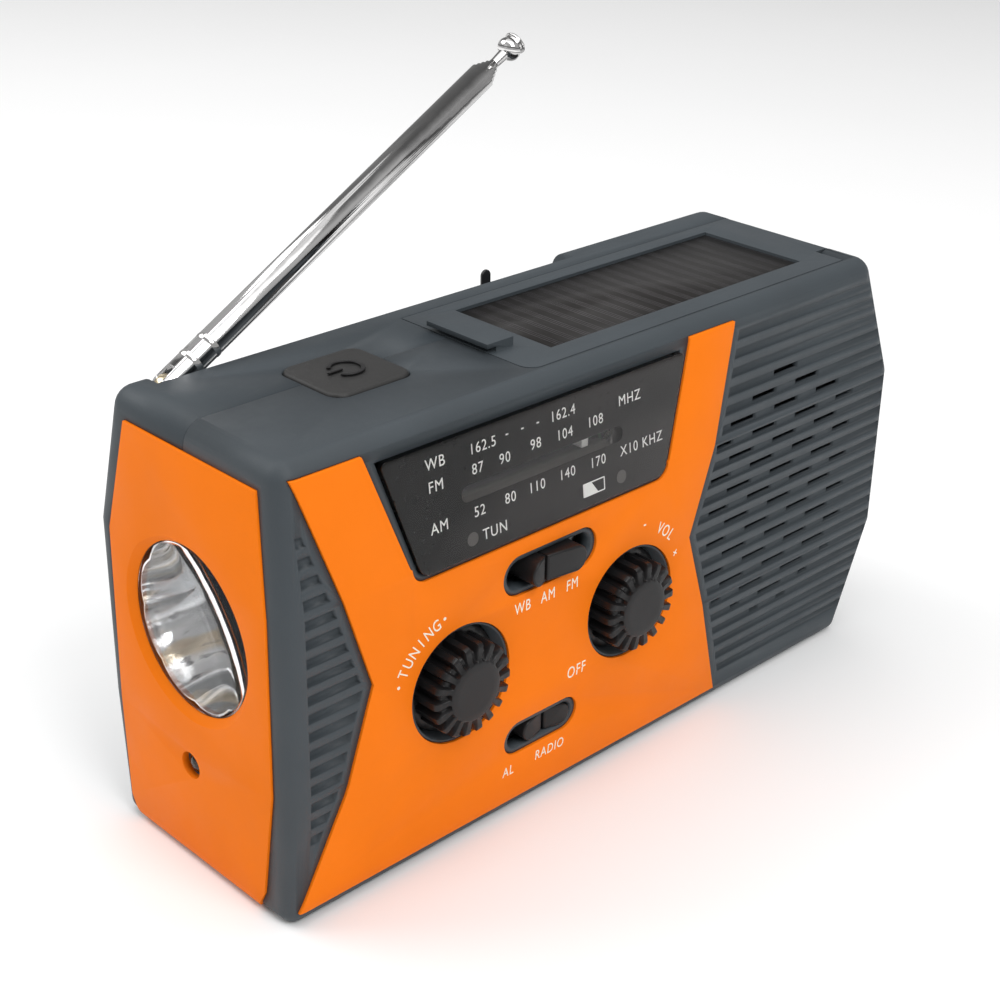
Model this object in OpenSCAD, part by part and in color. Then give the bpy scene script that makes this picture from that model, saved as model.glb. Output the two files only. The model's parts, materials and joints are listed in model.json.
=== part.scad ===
// Emergency radio with a solar lid, telescopic antenna, torch and folding hand crank.
// Frame: X runs along the front from torch end to loudspeaker end, Y to the back, Z up.
// The origin is the centre of the flat base.

/* [Case] */
// Length of the case at its widest level
body_len = 160; // [156:1:166]
// Depth of the case at its widest level
body_depth = 53.3; // [52:0.1:56]
// Height of the case
body_h = 86; // [86:0.5:88]
// Height of the lower crease round the case
crease_low = 26.6; // [24:0.1:28]
// Height of the upper crease round the case
crease_high = 60.6; // [60:0.1:62]
// Thickness of the case walls
wall = 2.4; // [2.2:0.1:2.6]
// Radius of the case edges
edge_r = 4; // [3.6:0.1:4.2]

/* [Front controls] */
// Radius of the two knob wells
well_r = 10.95; // [10.5:0.05:11.2]
// Height of the knob centres above the base
knob_z = 35.3; // [34:0.1:36]
// Teeth round each knob
knob_teeth = 18; // [12:1:20]
// Pitch of the horizontal grille ribs
rib_pitch = 3.48; // [3.3:0.01:3.6]
// Length of one loudspeaker slot
slot_len = 7.6; // [6:0.1:9]

/* [Antenna] */
// Outer diameter of the largest mast section
mast_d = 5.2; // [5:0.1:5.4]
// Length from the pivot to the middle of the tip, closed
mast_len = 93; // [90:0.5:93]
// Angle of the raised mast above the horizontal
mast_tilt = 29.8; // [28:0.1:40]

/* [Crank] */
// Radius of the round well that the crank turns in
crank_well_r = 31; // [30.5:0.1:32]
// Distance from the crank shaft to the grip hinge
crank_reach = 24; // [23:0.1:24.5]

/* [Hidden] */

$fn = 64;
half_d = body_depth / 2;
half_l = body_len / 2;
far = 60;
case_grey = [0.33, 0.36, 0.38];
panel_orange = [0.96, 0.47, 0.10];
rubber_black = [0.08, 0.08, 0.085];
board_green = [0.06, 0.30, 0.14];
steel = [0.78, 0.78, 0.80];

// The four levels of the case: height, left x, right x, half depth, corner radius
top_half_d = 23.7;
case_right = half_l + 1.5;
base_right = half_l - 5.5;
top_right = half_l - 3.7;
LEVELS = [
    [0, 0.3 - half_l, base_right, 24.9, 3],
    [crease_low, -half_l, case_right, half_d, edge_r],
    [crease_high, -half_l, case_right, half_d, edge_r],
    [body_h, 2.3 - half_l, top_right, top_half_d, edge_r]];
facet_tilt = atan((half_d - top_half_d) / (body_h - crease_high));
low_tilt = atan((half_d - 24.9) / crease_low);
seam_y = 1;
seam_gap = 0.2;

// Panels
panel_deep = 1.0;
panel_proud = 0.45;
panel_gap = 0.12;
vee_z = 43.3;

// Knobs
tuning_x = -42.2;
volume_x = 1.15;
well_floor_y = -20.2;
knob_front_y = -30.9;

// Dial
dial_x = -21.7;
pointer_x = -10.1;
cord_y = -17;
drum_r = 8;
cord_d = 0.8;
post_r = 1.5;
post_z = 69.4;
post_left_x = -45;
post_right_x = 2;

// Slide switches: centre x, centre z, rim length, rim height
BAND = [-20.7, 51.7, 23.2, 7.8];
ALERT = [-21.4, 17.1, 18.6, 7.0];
rim_w = 1.0;
slider_y = -22.4;
alert_rest = 1.6;

// Loudspeaker
speaker_x = 46.8;
speaker_z = 43.3;
first_rib_z = 80.35;
rib_count = 22;
groove_h = 1.9;
groove_deep = 0.8;
rib_left = -75.6;
rib_margin = 2.0;

// Torch in the left end
torch_z = 48.9;
torch_r = 15.8;
signal_y = 1.2;
signal_z = 21.6;

// Solar lid
lid_left = -19.8;
lid_front = -19.8;
lid_rear = 13.9;
lid_thick = 5.5;
lid_end = 69.3;
hinge_x = 72.5;
hinge_z = 83;
barrel_r = 2.95;
lid_gap = 0.3;
notch_front = -13.3;
notch_rear = lid_rear + lid_gap;

// Power button
button_x = -44.3;
button_y = 0.3;
button_w = 17.4;
button_d = 16.6;
button_low = 80.2;

// Antenna
pivot_x = -67;
pivot_y = 21.2;
pivot_z = 83.2;
groove_y = 17.7;
groove_z = 79.5;
groove_left = -71;
groove_right = 29.5;
section_step = 0.8;
section_wall = 0.35;
tip_r = 2.35;
clip_x = 10.2;
clip_w = 2.4;
clip_top = 85.6;

// Crank and gearbox
crank_x = -34;
crank_z = 41;
well_floor = 17.5;
gear_a_teeth = 48;
gear_a_mod = 0.75;
gear_b_teeth = 12;
gear_c_teeth = 40;
gear_c_mod = 0.6;
gear_d_teeth = 10;
pressure = 25;
idler_angle = -20;
rotor_angle = 100;
idler_dist = (gear_a_teeth + gear_b_teeth) * gear_a_mod / 2;
idler_x = crank_x + idler_dist * cos(idler_angle);
idler_z = crank_z + idler_dist * sin(idler_angle);
rotor_dist = (gear_c_teeth + gear_d_teeth) * gear_c_mod / 2;
rotor_x = idler_x + rotor_dist * cos(rotor_angle);
rotor_z = idler_z + rotor_dist * sin(rotor_angle);

// Battery
battery_y = 13.2;
battery_z = 39;
battery_x = 36;
door_x = 36.5;
door_w = 70;
door_low = 28.4;
door_h = 21.6;

// Ports, measured along the upper rear facet from the crease
flap_x = 55;
flap_w = 34;
flap_low = 2;
flap_h = 14;

// Screws that hold the two shells together: x, z
SCREWS = [[-70, 8], [-72, 67.6], [10, 7], [68, 8], [74.5, 56]];

// ---------- helpers ----------

// Rounded case, shrunk on every side by inset
module body_hull(inset) {
    hull()
        for (lv = LEVELS, sx = [1, 2], sy = [-1, 1]) {
            inward = (sx == 1) ? 1 : -1;
            lift = (lv[0] == 0) ? lv[4] : (lv[0] == body_h) ? -lv[4] : 0;
            translate([lv[sx] + inward * lv[4], sy * (lv[3] - lv[4]), lv[0] + lift])
                sphere(r = (lv[4] - inset) / cos(180 / 32), $fn = 32);
        }
}

// Extrude a flat shape drawn in X and Z from y0 to y1
module along_y(y0, y1) {
    translate([0, y1, 0])
        rotate([90, 0, 0])
            linear_extrude(y1 - y0)
                children();
}

// Extrude a flat shape drawn in Y and Z from x0 to x1
module along_x(x0, x1) {
    translate([x0, 0, 0])
        rotate([90, 0, 90])
            linear_extrude(x1 - x0)
                children();
}

// Place a shape drawn in X and height-up-the-facet on the upper front facet
module on_front_facet() {
    translate([0, -half_d, crease_high])
        rotate([90 - facet_tilt, 0, 0])
            children();
}

// The same on the upper rear facet
module on_rear_facet() {
    mirror([0, 1, 0])
        on_front_facet()
            children();
}

module obround(w, h) {
    square([w - h, h], center = true);
    for (s = [-1, 1])
        translate([s * (w - h) / 2, 0])
            circle(d = h);
}

module rounded_rect(w, h, r) {
    square([w - 2 * r, h], center = true);
    square([w, h - 2 * r], center = true);
    for (sx = [-1, 1], sy = [-1, 1])
        translate([sx * (w / 2 - r), sy * (h / 2 - r)])
            circle(r = r);
}

module rod_y(x, z, r, y0, y1) {
    translate([x, y0, z])
        rotate([-90, 0, 0])
            cylinder(r = r, h = y1 - y0);
}

module rod_x(y, z, r, x0, x1) {
    translate([x0, y, z])
        rotate([0, 90, 0])
            cylinder(r = r, h = x1 - x0);
}

module rod_z(x, y, r, z0, z1) {
    translate([x, y, z0])
        cylinder(r = r, h = z1 - z0);
}

module block(x0, x1, y0, y1, z0, z1) {
    translate([x0, y0, z0])
        cube([x1 - x0, y1 - y0, z1 - z0]);
}

// Involute gear outline: teeth, module, angle of one tooth's middle
function involute_turn(rb, r) = (r <= rb) ? 0 : tan(acos(rb / r)) * 180 / PI - acos(rb / r);
function flank_half(n, m, r) =
    let (rp = n * m / 2, rb = rp * cos(pressure), slack = 0.07 / rp * 180 / PI)
    90 / n - slack + involute_turn(rb, rp) - involute_turn(rb, r);
module gear_outline(n, m, phase) {
    rp = n * m / 2;
    ra = rp + 0.8 * m;
    rr = rp - 1.05 * m;
    rb = max(rp * cos(pressure), rr);
    radii = [rr, rb, rb + (ra - rb) * 0.33, rb + (ra - rb) * 0.66, ra];
    points = [for (t = [0:n - 1])
        for (k = [0:9])
            let (r = (k < 5) ? radii[k] : radii[9 - k],
                side = (k < 5) ? -1 : 1,
                a = phase + t * 360 / n + side * flank_half(n, m, max(r, rb)))
            [r * cos(a), r * sin(a)]];
    polygon(points);
}

// ---------- outlines ----------

// Half width of the front panel's notch line, from the vee at vee_z
function vee_x(z) = abs(z - vee_z) * 0.327;
panel_low = 3.0;
panel_top = 83.5;
panel_left = -62.1;
panel_right = 17.5;

// The panel's left edge, which leans out further below lean_z
lean_z = 24;
function left_x(z) = panel_left - vee_x(z) - max(0, lean_z - z) * 0.12;

module panel_outline(grow = 0) {
    low = panel_low - grow;
    top = panel_top + grow;
    polygon([
        [left_x(low) - grow, low],
        [left_x(lean_z) - grow, lean_z],
        [panel_left - grow, vee_z],
        [left_x(top) - grow, top],
        [panel_right + vee_x(top) + grow, top],
        [panel_right + grow, vee_z],
        [panel_right + vee_x(low) + grow, low]]);
}

// Dial opening in the panel and the lens in it: trapezoids with rounded lower corners
module trapezoid(z0, z1, half0, half1, r) {
    slope = (half1 - half0) / (z1 - z0);
    polygon([
        [dial_x - half0 + r * 0.9, z0],
        [dial_x + half0 - r * 0.9, z0],
        [dial_x + half0 + slope * r * 1.1, z0 + r * 1.1],
        [dial_x + half1, z1],
        [dial_x - half1, z1],
        [dial_x - half0 - slope * r * 1.1, z0 + r * 1.1]]);
    for (s = [-1, 1])
        translate([dial_x + s * (half0 - r * 0.75), z0 + r])
            circle(r = r);
}

module window_outline() {
    trapezoid(58.7, 90, 30.9, 41.7, 3);
}

module lens_outline(shrink = 0) {
    trapezoid(59.7 + shrink, 81.8 - shrink, 29.9 - shrink, 36.8 - shrink, 2.4);
}

// The end panel: its front edge leans in further towards the base than its rear one
module end_outline(grow = 0) {
    g = grow;
    polygon([
        [-18.6 - g, 81.2 + g], [17.8 + g, 81.2 + g], [21.2 + g, crease_high],
        [22.0 + g, crease_low], [21.8 + g, 5], [19.7 + g, 0.8 - g],
        [-16.2 - g, 0.8 - g], [-18.5 - g, 5], [-22.1 - g, crease_low], [-22.5 - g, crease_high]]);
}

module lid_outline(grow = 0) {
    r = 3;
    difference() {
        translate([lid_left - grow, lid_front - grow])
            square([lid_end - lid_left + 2 * grow, lid_rear - lid_front + 2 * grow]);
        translate([lid_left - grow - 1, lid_front - grow - 1])
            difference() {
                square([r + 1, r + 1]);
                translate([r + 1, r + 1])
                    circle(r = r);
            }
    }
}

module switch_rim(s, shrink = 0) {
    translate([s[0], s[1]])
        obround(s[2] - 2 * shrink, s[3] - 2 * shrink);
}

// ---------- cuts shared by the two shells ----------

// Recesses that the two orange panels sit in
module panel_recesses() {
    difference() {
        union() {
            along_y(-far, 0)
                difference() {
                    panel_outline(panel_gap);
                    window_outline();
                    switch_rim(BAND);
                    switch_rim(ALERT);
                    for (x = [tuning_x, volume_x])
                        translate([x, knob_z])
                            circle(r = well_r + 0.5);
                }
            along_x(-2 * far, -40)
                end_outline(panel_gap);
        }
        body_hull(panel_deep);
    }
}

module lid_recess() {
    translate([0, 0, body_h - lid_thick - lid_gap])
        linear_extrude(far)
            lid_outline(lid_gap);
    block(lid_end - 1, 2 * far, notch_front, notch_rear, hinge_z - barrel_r - 0.4, 2 * far);
    difference() {
        block(lid_end, hinge_x, lid_front - lid_gap, notch_rear, hinge_z, 2 * far);
        rod_y(hinge_x, hinge_z, barrel_r - 0.05, -far, far);
    }
}

module shared_cuts() {
    lid_recess();
    translate([button_x, button_y, 70])
        linear_extrude(far)
            rounded_rect(button_w + 0.6, button_d + 0.6, 3.3);
    rod_x(0, torch_z, torch_r + 0.15, -2 * far, -60);
    rod_x(signal_y, signal_z, 2.6, -2 * far, -60);
}

module lid_tray(y0, y1) {
    block(lid_left - 2.4, half_l, y0, y1, body_h - lid_thick - 2.4, body_h);
}

// ---------- front half ----------

module grille_cuts() {
    for (k = [0:rib_count - 1]) {
        z = first_rib_z - k * rib_pitch;
        facet_y = (z > crease_high) ? half_d - (z - crease_high) * tan(facet_tilt)
            : (z < crease_low) ? half_d - (crease_low - z) * tan(low_tilt) : half_d;
        right_edge = (z > crease_high)
            ? case_right - (z - crease_high) * (case_right - top_right) / (body_h - crease_high)
            : case_right - max(0, crease_low - z) * (case_right - base_right) / crease_low;
        x0 = panel_right + 2.3;
        x1 = right_edge - 2.6;
        z0 = z - groove_h / 2;
        z1 = z + groove_h / 2;
        along_y(-far, groove_deep - facet_y)
            polygon([[x0 + vee_x(z0), z0], [x1, z0], [x1, z1], [x0 + vee_x(z1), z1]]);
        v0 = left_x(z0) - rib_margin;
        v1 = left_x(z1) - rib_margin;
        if (min(v0, v1) > rib_left + groove_deep)
            along_y(-far, groove_deep - facet_y)
                polygon([[rib_left, z0], [v0, z0], [v1, z1], [rib_left, z1]]);
        speaker_slots(k, z);
    }
}

// Staggered slots through the front, inside a six-sided outline
module speaker_slots(k, z) {
    half = min(22.3, 3.8 + (26.7 - abs(z - vee_z)) * 1.94);
    shift = (k % 2 == 1) ? 0 : 6.7;
    for (i = [-2:2]) {
        lo = max(-half, i * 13.4 - shift - slot_len / 2);
        hi = min(half, i * 13.4 - shift + slot_len / 2);
        if (hi - lo > 2.4)
            block(speaker_x + lo, speaker_x + hi, -far, -half_d + wall + 5, z - 0.8, z + 0.9);
    }
}

module front_fill() {
    for (x = [tuning_x, volume_x])
        rod_y(x, knob_z, well_r + 1.3, -half_d, well_floor_y + 1.4);
    lid_tray(-22, seam_y);
    block(lid_end + 0.3, half_l, -21, notch_front, 77, body_h);
    on_front_facet()
        translate([0, -crease_high, -3.6])
            linear_extrude(3.6)
                trapezoid(57, 86, 32, 42, 2);
    for (s = [BAND, ALERT])
        along_y(-half_d, -23)
            switch_rim(s, -1.5);
    for (s = SCREWS)
        rod_y(s[0], s[1], 3.4, -half_d, seam_y);
    translate([speaker_x, -21.6, speaker_z])
        rotate([90, 0, 0])
            difference() {
                cylinder(r = 27.6, h = 5);
                translate([0, 0, -1])
                    cylinder(r = 26.2, h = 7);
            }
    along_x(-half_l, -75.5)
        difference() {
            translate([0, torch_z])
                circle(r = torch_r + 2);
            translate([0, torch_z])
                circle(r = torch_r);
        }
}

module front_shell() {
    color(case_grey)
        difference() {
            body_hull(0);
            difference() {
                body_hull(wall);
                front_fill();
            }
            block(-2 * far, 2 * far, seam_y, far, -1, 3 * far);
            panel_recesses();
            shared_cuts();
            grille_cuts();
            for (x = [tuning_x, volume_x]) {
                rod_y(x, knob_z, well_r, -far, well_floor_y);
                rod_y(x, knob_z, 3.5, -far, 0);
            }
            on_front_facet()
                translate([0, -crease_high, 0]) {
                    translate([0, 0, -1.3])
                        linear_extrude(far)
                            lens_outline(-0.1);
                    translate([0, 0, -12])
                        linear_extrude(far)
                            lens_outline(1.6);
                }
            for (s = [BAND, ALERT])
                along_y(-far, 0)
                    switch_rim(s, rim_w);
            rod_y(hinge_x, hinge_z, 1.05, -19, notch_front + 1);
            for (s = SCREWS)
                rod_y(s[0], s[1], 1.15, -16, seam_y + 1);
        }
}

module front_panel() {
    color(panel_orange)
        difference() {
            intersection() {
                body_hull(-panel_proud);
                along_y(-far, -10)
                    panel_outline();
            }
            body_hull(panel_deep - 0.02);
            along_y(-far, 0) {
                window_outline();
                switch_rim(BAND, -panel_gap);
                switch_rim(ALERT, -panel_gap);
                for (x = [tuning_x, volume_x])
                    translate([x, knob_z])
                        circle(r = well_r + 0.6);
            }
        }
}

module end_panel() {
    color(panel_orange)
        difference() {
            intersection() {
                body_hull(-panel_proud);
                along_x(-2 * far, -70)
                    end_outline();
            }
            body_hull(panel_deep - 0.02);
            rod_x(0, torch_z, torch_r + 0.1, -2 * far, -60);
            rod_x(signal_y, signal_z, 2.6, -2 * far, -60);
            translate([-half_l - panel_proud - 0.1, 0, torch_z])
                rotate([0, 90, 0])
                    cylinder(r1 = torch_r + 1.7, r2 = torch_r, h = 1.4);
        }
}

// ---------- dial ----------

module dial_lens() {
    color([0.75, 0.78, 0.8, 0.35])
        on_front_facet()
            translate([0, -crease_high, -1.25])
                linear_extrude(2.25)
                    lens_outline();
}

module dial_plate() {
    color([0.05, 0.05, 0.055])
        difference() {
            union() {
                on_front_facet()
                    translate([0, -crease_high, -3.4])
                        linear_extrude(1)
                            lens_outline(1.8);
                for (x = [post_left_x, post_right_x])
                    rod_y(x, post_z, post_r, -22.9, cord_y + 1);
                block(dial_x - 19, dial_x + 18, -22.9, cord_y - 1.7, 68.1, 69.1);
            }
            on_front_facet()
                translate([dial_x - 0.4, 10.6, -12])
                    linear_extrude(far)
                        obround(39.4, 3.6);
            for (x = [-40, -3.2])
                translate([x, 0, 62.9])
                    rotate([90, 0, 0])
                        cylinder(r = 1.1, h = far);
        }
}

module dial_pointer() {
    color([0.95, 0.95, 0.92])
        difference() {
            union() {
                block(pointer_x - 0.8, pointer_x + 0.8, -23.4, cord_y + 1.4, 69.6, 72);
                block(pointer_x - 2, pointer_x + 2, cord_y - 1.4, cord_y + 1.4, 69.9, 72.9);
            }
            block(pointer_x - 3, pointer_x + 3, cord_y - 0.6, cord_y + 0.6,
                post_z + post_r, post_z + post_r + 1.3);
        }
}

// The dial cord: once round the drum, over the two posts and along the dial
module dial_cord() {
    reach = drum_r + cord_d / 2 + 0.15;
    over = post_r + cord_d / 2 + 0.15;
    left = [post_left_x, post_z];
    right = [post_right_x, post_z];
    drum = [tuning_x, knob_z];
    color([0.85, 0.83, 0.7])
        translate([0, cord_y + cord_d / 2, 0])
            rotate([90, 0, 0])
                linear_extrude(cord_d)
                    difference() {
                        hull() {
                            translate(drum)
                                circle(r = reach + cord_d / 2);
                            translate(left)
                                circle(r = over + cord_d / 2);
                            translate(right)
                                circle(r = over + cord_d / 2);
                        }
                        hull() {
                            translate(drum)
                                circle(r = reach - cord_d / 2);
                            translate(left)
                                circle(r = over - cord_d / 2);
                            translate(right)
                                circle(r = over - cord_d / 2);
                        }
                    }
}

// ---------- knobs ----------

module knob(x) {
    difference() {
        union() {
            rod_y(x, knob_z, 5.7, knob_front_y, well_floor_y - 0.6);
            rod_y(x, knob_z, 7.5, knob_front_y + 1.3, well_floor_y - 0.6);
            rod_y(x, knob_z, well_r - 0.65, knob_front_y + 6.4, well_floor_y - 0.6);
            for (i = [0:knob_teeth - 1])
                translate([x, 0, knob_z])
                    rotate([0, i * 360 / knob_teeth, 0])
                        block(5.3, 9, knob_front_y + 0.5, well_floor_y - 0.6, -0.75, 0.75);
        }
        rod_y(x, knob_z, 2.98, knob_front_y + 2.5, 0);
    }
}

module tuning_knob() {
    color(rubber_black)
        knob(tuning_x);
}

module volume_knob() {
    color(rubber_black)
        knob(volume_x);
}

// Tuning shaft with the cord drum on it
module tuning_shaft() {
    color([0.9, 0.9, 0.86]) {
        rod_y(tuning_x, knob_z, 2.98, knob_front_y + 2.5, -11.5);
        difference() {
            rod_y(tuning_x, knob_z, drum_r + 1.2, cord_y - 1.5, cord_y + 1.5);
            difference() {
                rod_y(tuning_x, knob_z, drum_r + 3, cord_y - 0.8, cord_y + 0.8);
                rod_y(tuning_x, knob_z, drum_r, cord_y - 1, cord_y + 1);
            }
        }
    }
}

module tuning_capacitor() {
    color([0.85, 0.85, 0.8])
        difference() {
            translate([tuning_x, -7.3, knob_z])
                rotate([90, 0, 0])
                    linear_extrude(8, center = true)
                        rounded_rect(20, 20, 1.5);
            rod_y(tuning_x, knob_z, 3.05, -12, -9);
        }
}

module volume_shaft() {
    color([0.9, 0.9, 0.86])
        rod_y(volume_x, knob_z, 2.98, knob_front_y + 2.5, -14);
}

module volume_pot() {
    color([0.6, 0.6, 0.62])
        difference() {
            union() {
                rod_y(volume_x, knob_z, 8, -18.4, -13.1);
                block(volume_x - 6, volume_x + 6, -16, -13.1, knob_z - 12, knob_z);
            }
            rod_y(volume_x, knob_z, 3.05, -19, -13.8);
        }
}

// ---------- slide switches ----------

// Two-lobed slider cap: centre x, centre z, length, height, front y and finger groove radius
module slider_cap(x, z, len, tall, front_y, groove) {
    difference() {
        union() {
            along_y(front_y, slider_y)
                translate([x, z])
                    obround(len, tall);
            along_y(slider_y, slider_y + 1.4)
                translate([x, z])
                    square([len + 0.4, tall + 1], center = true);
        }
        translate([x, front_y - 0.3, z])
            cylinder(r = groove, h = 20, center = true);
    }
}

module band_switch_cap() {
    color(rubber_black)
        slider_cap(BAND[0], BAND[1], 13.6, 5.2, -29.6, 1.3);
}

module alert_switch_cap() {
    color(rubber_black)
        slider_cap(ALERT[0] + alert_rest, ALERT[1], 12, 4.4, -26.4, 0.9);
}

// Sliding switch body: a metal can open to the front, under the cap
module switch_body(s, travel) {
    difference() {
        block(s[0] - s[2] / 2 - 1, s[0] + s[2] / 2 + 1, -22.7, -18.2, s[1] - 5, s[1] + 5);
        block(s[0] - travel, s[0] + travel, -24, -20.6, s[1] - 3.5, s[1] + 3.5);
    }
}

module band_switch_body() {
    color(steel)
        switch_body(BAND, 11.2);
}

module alert_switch_body() {
    color(steel)
        switch_body(ALERT, 8.4);
}

// ---------- inside ----------

module main_board() {
    color(board_green)
        difference() {
            block(-58, 18, -13, -11.6, 11, 66);
            rod_y(tuning_x, knob_z, 3.5, -14, -11);
            for (z = [15, 62])
                rod_y(14, z, 1.5, -14, -11);
        }
}

module speaker_frame() {
    color([0.25, 0.25, 0.27])
        translate([speaker_x, 0, speaker_z])
            rotate([90, 0, 0])
                rotate_extrude()
                    polygon([[23, 23], [26, 23], [26, 21.6], [24, 21.6], [13, 11.4],
                        [4, 11.4], [4, 12.4], [12.5, 12.4], [22, 21.2]]);
}

module speaker_cone() {
    color([0.12, 0.11, 0.10])
        translate([speaker_x, 0, speaker_z])
            rotate([90, 0, 0])
                rotate_extrude()
                    polygon([[0, 15.6], [4, 14.6], [10, 14.6], [21.4, 22.4], [22.4, 22.4],
                        [22.4, 22.05], [21.6, 21.95], [10.4, 14], [3.5, 14], [0, 15]]);
}

module speaker_magnet() {
    color(steel)
        rod_y(speaker_x, speaker_z, 12, -11.3, -4.5);
}

// ---------- torch ----------

// Reflector cup: a paraboloid opening to the left
cup_deep = 15.5;
cup_front_x = -78.2;
function cup_r(t) = 3 + (torch_r - 0.9 - 3) * sqrt(t);
module reflector() {
    steps = 10;
    inner = [for (i = [0:steps]) [cup_r(i / steps), i / steps * cup_deep]];
    outer = [for (i = [steps:-1:0]) [cup_r(i / steps) + 0.8, i / steps * cup_deep - 0.3]];
    color([0.9, 0.9, 0.92])
        translate([cup_front_x + cup_deep, 0, torch_z])
            rotate([0, -90, 0])
                rotate_extrude()
                    polygon(concat(inner, outer));
}

module torch_lens() {
    color([0.85, 0.9, 0.95, 0.3])
        rod_x(0, torch_z, torch_r - 0.05, cup_front_x - 1.5, cup_front_x - 0.05);
}

module torch_led() {
    base_x = cup_front_x + cup_deep;
    color([0.95, 0.95, 0.8]) {
        rod_x(0, torch_z, 8, base_x + 0.4, base_x + 2);
        rod_x(0, torch_z, 2.5, base_x - 3, base_x + 0.4);
        translate([base_x - 3, 0, torch_z])
            sphere(r = 2.5);
    }
}

module signal_led() {
    color([0.95, 0.9, 0.85]) {
        rod_x(signal_y, signal_z, 2.4, -77.6, -71);
        rod_x(signal_y, signal_z, 2.9, -75.2, -74.2);
        translate([-77.6, signal_y, signal_z])
            sphere(r = 2.4);
        block(-71, -69.6, signal_y - 6, signal_y + 6, signal_z - 5, signal_z + 5);
    }
}

// Two small indicator lights behind the dial
module indicator_leds() {
    color([0.7, 0.2, 0.15])
        for (x = [-40, -3.2])
            rod_y(x, 62.9, 0.95, -24.2, -18);
}

// ---------- power button ----------

module power_button() {
    color(rubber_black)
        translate([button_x, button_y, 0]) {
            translate([0, 0, button_low])
                linear_extrude(body_h + 0.3 - button_low)
                    rounded_rect(button_w, button_d, 3);
            translate([0, 0, body_h + 0.3])
                linear_extrude(0.5)
                    rounded_rect(button_w - 1, button_d - 1, 2.5);
            translate([0, 0, body_h - wall - 1.8])
                linear_extrude(1.4)
                    rounded_rect(button_w + 3, button_d + 3, 3);
        }
}

module button_board() {
    color(board_green)
        block(button_x - 11, button_x + 11, button_y - 9, button_y + 9, 74, 75.4);
    color([0.15, 0.15, 0.15]) {
        block(button_x - 3, button_x + 3, button_y - 3, button_y + 3, 75.4, 77.6);
        rod_z(button_x, button_y, 1.6, 77.6, button_low - 1.2);
    }
}

// ---------- solar lid ----------

cell_x0 = -9.6;
cell_x1 = 62;
cell_y0 = -14.7;
cell_y1 = 10.5;

module lid_frame() {
    low = body_h - lid_thick;
    color(case_grey)
        difference() {
            union() {
                translate([0, 0, low])
                    linear_extrude(lid_thick)
                        lid_outline();
                block(lid_end - 1, hinge_x, notch_front + 0.3, notch_rear - 0.3, hinge_z - 1, body_h);
                rod_y(hinge_x, hinge_z, barrel_r, notch_front + 0.3, notch_rear - 0.3);
                lid_tab();
            }
            block(cell_x0, cell_x1, cell_y0, cell_y1, body_h - 1.5, body_h + 5);
            block(-4, 56, -10, 6, low - 1, low + 2.7);
            rod_y(hinge_x, hinge_z, 1.06, -30, 30);
        }
}

// Finger tab at the lid's free end
module lid_tab() {
    difference() {
        block(lid_left - 0.6, -14, -9.6, 6.4, body_h - 1, body_h + 1.8);
        block(lid_left - 1, lid_left + 1.6, -10, 7, body_h - 2, body_h + 0.9);
        translate([-14, 0, body_h + 1.8])
            rotate([0, 17, 0])
                block(-1, 9, -12, 10, 0, 5);
    }
}

module solar_cell() {
    color([0.10, 0.09, 0.11])
        block(cell_x0 + 0.1, cell_x1 - 0.1, cell_y0 + 0.1, cell_y1 - 0.1,
            body_h - 1.5, body_h - 0.6);
}

module lamp_lens() {
    color([0.95, 0.95, 0.95, 0.6])
        block(-3.9, 55.9, -9.9, 5.9, body_h - lid_thick, body_h - lid_thick + 1.1);
}

module lamp_board() {
    low = body_h - lid_thick;
    color("white") {
        block(-3.5, 55.5, -9.5, 5.5, low + 1.7, low + 2.7);
        for (i = [0:5])
            block(i * 10, i * 10 + 2.8, -3.4, -0.6, low + 1.2, low + 1.7);
    }
}

module lid_pin() {
    color(steel)
        rod_y(hinge_x, hinge_z, 1.0, -18.6, 20);
}

// ---------- antenna ----------

module at_pivot() {
    translate([pivot_x, pivot_y, pivot_z])
        children();
}

// Lay a mast piece, drawn along X from the pivot, at its raised angle
module raised() {
    at_pivot()
        rotate([0, -mast_tilt, 0])
            children();
}

module antenna_bush() {
    color([0.75, 0.62, 0.3])
        at_pivot()
            difference() {
                union() {
                    translate([0, 0, groove_z - pivot_z - 6])
                        cylinder(r = 2.9, h = 6);
                    translate([0, 0, groove_z - pivot_z - 6])
                        cylinder(r = 3.6, h = 1.2);
                }
                translate([0, 0, -20])
                    cylinder(r = 1.8, h = 40);
            }
}

module antenna_swivel() {
    base = groove_z - pivot_z + 0.2;
    color([0.85, 0.78, 0.6])
        at_pivot()
            difference() {
                union() {
                    translate([0, 0, base])
                        cylinder(r = 2.8, h = 0.6);
                    translate([-2.2, -0.8, base])
                        cube([4.4, 1.6, -base]);
                    rotate([90, 0, 0])
                        cylinder(r = 2.2, h = 1.6, center = true);
                    translate([0, 0, base - 8])
                        cylinder(r = 1.75, h = 8.2);
                    translate([0, 0, base - 8.6])
                        cylinder(r = 2.6, h = 1.6);
                }
                rotate([90, 0, 0])
                    cylinder(r = 0.8, h = 9, center = true);
            }
}

module antenna_pin() {
    color(steel)
        raised()
            rotate([90, 0, 0])
                cylinder(r = 0.75, h = mast_d - 0.2, center = true);
}

function section_d(i) = mast_d - (i - 1) * section_step;
tube_end = mast_len - 8;
inner_start = 8;
foot_step = 1.3;

// Largest section: a tube whose root is a fork over the swivel's tongue
module mast_1() {
    color(steel)
        raised()
            difference() {
                union() {
                    rotate([0, 90, 0])
                        cylinder(d = mast_d, h = tube_end);
                    sphere(d = mast_d);
                }
                translate([inner_start - 0.3, 0, 0])
                    rotate([0, 90, 0])
                        cylinder(d = mast_d - 2 * section_wall, h = mast_len);
                translate([-5, -1.1, -5])
                    cube([8, 2.2, 10]);
                rotate([90, 0, 0])
                    cylinder(r = 0.76, h = 9, center = true);
            }
}

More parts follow.
